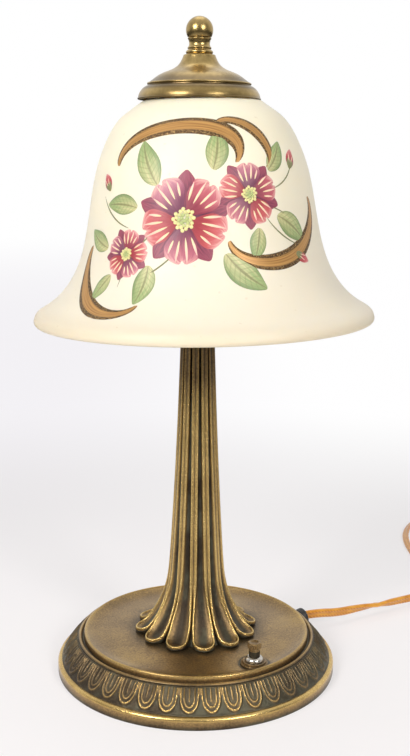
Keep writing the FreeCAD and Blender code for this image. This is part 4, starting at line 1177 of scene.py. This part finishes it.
petal = Enamel("petal_enamel")
deep = petal.blend(petal.tone.ease(0.3, 0.7), (0.330, 0.035, 0.050), (0.170, 0.045, 0.090))
full = petal.blend(petal.tone.ease(0.2, 0.8), (0.560, 0.105, 0.110), (0.430, 0.130, 0.190))
shades = petal.blend((petal.t + (petal.streak - 0.5) * 0.7).ease(0.15, 0.75), deep, full)
rim_of = (petal.t + (petal.streak - 0.5) * 0.8 + petal.u * petal.u * 0.25).ease(0.72, 1.15)
petal.wash(rim_of, shades, (0.760, 0.400, 0.370)).on(petals, buds)

under = Enamel("under_enamel")
faded = (under.streak + under.t * 0.3).ease(0.4, 0.9)
under.wash(faded, (0.115, 0.022, 0.055), (0.330, 0.070, 0.110)).on(back_petals)

light = Enamel("light_enamel", 0.34)
towards_tip = (light.t + light.streak * 0.5).ease(0.3, 1.1)
light.wash(towards_tip, (0.86, 0.74, 0.42), (0.90, 0.62, 0.50)).on(lights)

seed = Enamel("seed_enamel")
seed.wash(seed.tone.ease(0.3, 0.9), (0.46, 0.52, 0.22), (0.84, 0.76, 0.36)).on(middles)

stem = Enamel("stem_enamel")
stem.wash(stem.streak.ease(0.3, 0.7), (0.130, 0.150, 0.060), (0.300, 0.280, 0.120)).on(stems, sepals)

leaf = Enamel("leaf_enamel")
from_rib = abs(leaf.u)
side_vein = leaf.t * 9.0 - from_rib * 1.7
side_vein = 1 - abs(side_vein.maths("FRACT", side_vein) - 0.5).ease(0.06, 0.16)
mid_vein = 1 - from_rib.ease(0.04, 0.13)
fresh = leaf.blend((leaf.streak + leaf.t * 0.5).ease(0.35, 1.0), (0.680, 0.600, 0.320), (0.300, 0.400, 0.160))
outer = (from_rib + (leaf.streak - 0.5) * 0.5).ease(0.45, 1.0)
half_dark = leaf.blend(outer * 0.8 + leaf.u.ease(0.0, 0.4) * 0.2, fresh, (0.150, 0.240, 0.090))
veined = leaf.blend(side_vein * 0.40, half_dark, (0.230, 0.240, 0.090))
leaf.wash(mid_vein * 0.75, veined, (0.210, 0.200, 0.080)).on(leaves)

# %% [markdown]
# The scrolls are bronze powder in varnish. Their edges are loaded with coarse grains
# that glitter, and the middle is a thin wash with brush marks.

# %% Gilt scrolls' finish
gilt = Enamel("gilt_paint", 0.40)
grains = gilt.noise(1150.0, 2.0, 0.75)
edge = (abs(gilt.u) + (gilt.streak - 0.5) * 0.35).ease(0.42, 0.56)
wash = gilt.blend(gilt.streak.ease(0.30, 0.65), (0.300, 0.135, 0.035), (0.560, 0.310, 0.095))
grit = gilt.blend(grains.ease(0.48, 0.66), (0.070, 0.036, 0.014), (0.460, 0.290, 0.110))
gilt.wash(edge, wash, grit).feed(Metallic=edge * 0.35 + 0.25)
gilt.bumps(grains * edge + gilt.streak * 0.3, 0.0004).on(scrolls)

# %% [markdown]
# ## Floor, light and world
#
# The photograph was taken on white paper, with a large soft lamp on each side of the
# camera and white walls behind. Polished brass shows its surroundings, so the world
# is white behind and above and dim on the camera's side, and the paper that the brass
# sees is bright only near the lamp: that gives the dark top of the column and the
# bright streaks at its foot. What the camera sees of the world is plain white.

# %% The paper floor
floor_data = bpy.data.meshes.new("floor")
floor_data.from_pydata([(-9, -9, 0), (9, -9, 0), (9, 9, 0), (-9, 9, 0)], [], [(0, 1, 2, 3)])
floor = bpy.data.objects.new("floor", floor_data)
bpy.context.scene.collection.objects.link(floor)
paper = Finish("paper_sweep", Roughness=0.9)
back, aside = paper.axis("Y"), paper.axis("X")
mottled = paper.noise(2.0, 2.0).ease(0.2, 0.8)
paper.feed(Base_Color=paper.blend(mottled, (0.930, 0.910, 0.916), (0.955, 0.938, 0.944)))
camera_ray, glossy_ray, clear_ray = (paper.ray(name) for name in ("Camera", "Glossy", "Transmission"))
# The paper is painted a little darker towards the left: painted shade.
left_darker_paper = paper.blend(aside.ease(-0.30, 0.25), (0.900, 0.882, 0.910), (1.0, 0.997, 1.0))
pale = paper.blend(back.ease(-0.1, 0.9), (0.985, 0.955, 0.962), left_darker_paper)
place = paper.node("ShaderNodeTexCoord", output="Object")
distance = paper.node("ShaderNodeVectorMath", {"operation": "LENGTH"}, {0: place}, "Value")
pale = paper.blend(distance.ease(1.6, 5.0), pale, (1.0, 1.0, 1.0))
away = distance.ease(0.30, 1.15)
shown = 1 - glossy_ray * (away * 1.16 - 0.22)
glowing = paper.node("ShaderNodeEmission", None, {"Color": pale, "Strength": shown})
direct = camera_ray.most(clear_ray) + glossy_ray
fade = (direct * distance.ease(0.32, 0.95, 0.56, 1.0)).most(glossy_ray * away)
lit = Wire(paper, paper.shader.outputs[0])
mixed = paper.node("ShaderNodeMixShader", None, {0: fade, 1: lit, 2: glowing})
paper.tree.links.new(mixed.socket, paper.find("OUTPUT_MATERIAL").inputs["Surface"])
paper.on(floor)

# %% Lamps and world
LAMPS_AIM = (0, 0, 0.25)


def softbox(name, azimuth, distance, height, size, power, colour):
    """A square lamp at an azimuth in degrees, turned to look at the middle of the object."""
    data = bpy.data.lights.new(name, "AREA")
    data.shape, data.size, data.energy, data.color = "SQUARE", size, power, colour
    lamp = bpy.data.objects.new(name, data)
    place = np.array([*on_circle(distance, azimuth), height])
    aim = np.array(LAMPS_AIM) - place
    lamp.location = place
    down = math.acos(-aim[2] / np.linalg.norm(aim))
    lamp.rotation_euler = (down, 0, math.atan2(aim[1], aim[0]) - math.pi / 2)
    bpy.context.scene.collection.objects.link(lamp)


softbox("left_softbox", -130.0, 1.6, 1.15, 0.62, 24.0, (1.0, 0.985, 0.96))
softbox("right_softbox", -57.0, 1.7, 1.05, 0.5, 16.0, (1.0, 0.985, 0.96))
softbox("top_softbox", 90.0, 0.5, 1.7, 0.9, 3.0, (1.0, 1.0, 1.0))
world = bpy.data.worlds.new("studio")
bpy.context.scene.world = world
sky = Tree(world)
behind = sky.axis("Y", "Generated").ease(-0.55, 0.45, 0.16, 1.0)
bright = behind.most(sky.axis("Z", "Generated").ease(0.35, 0.95, 0.0, 0.9))
level = (bright * (1 - sky.ray("Diffuse") * 0.68)).most(sky.ray("Camera"))
background = sky.find("BACKGROUND")
sky.tree.links.new(level.socket, background.inputs["Strength"])
background.inputs["Color"].default_value = (1.0, 1.0, 1.0, 1.0)
bpy.context.scene.view_settings.view_transform = "Standard"
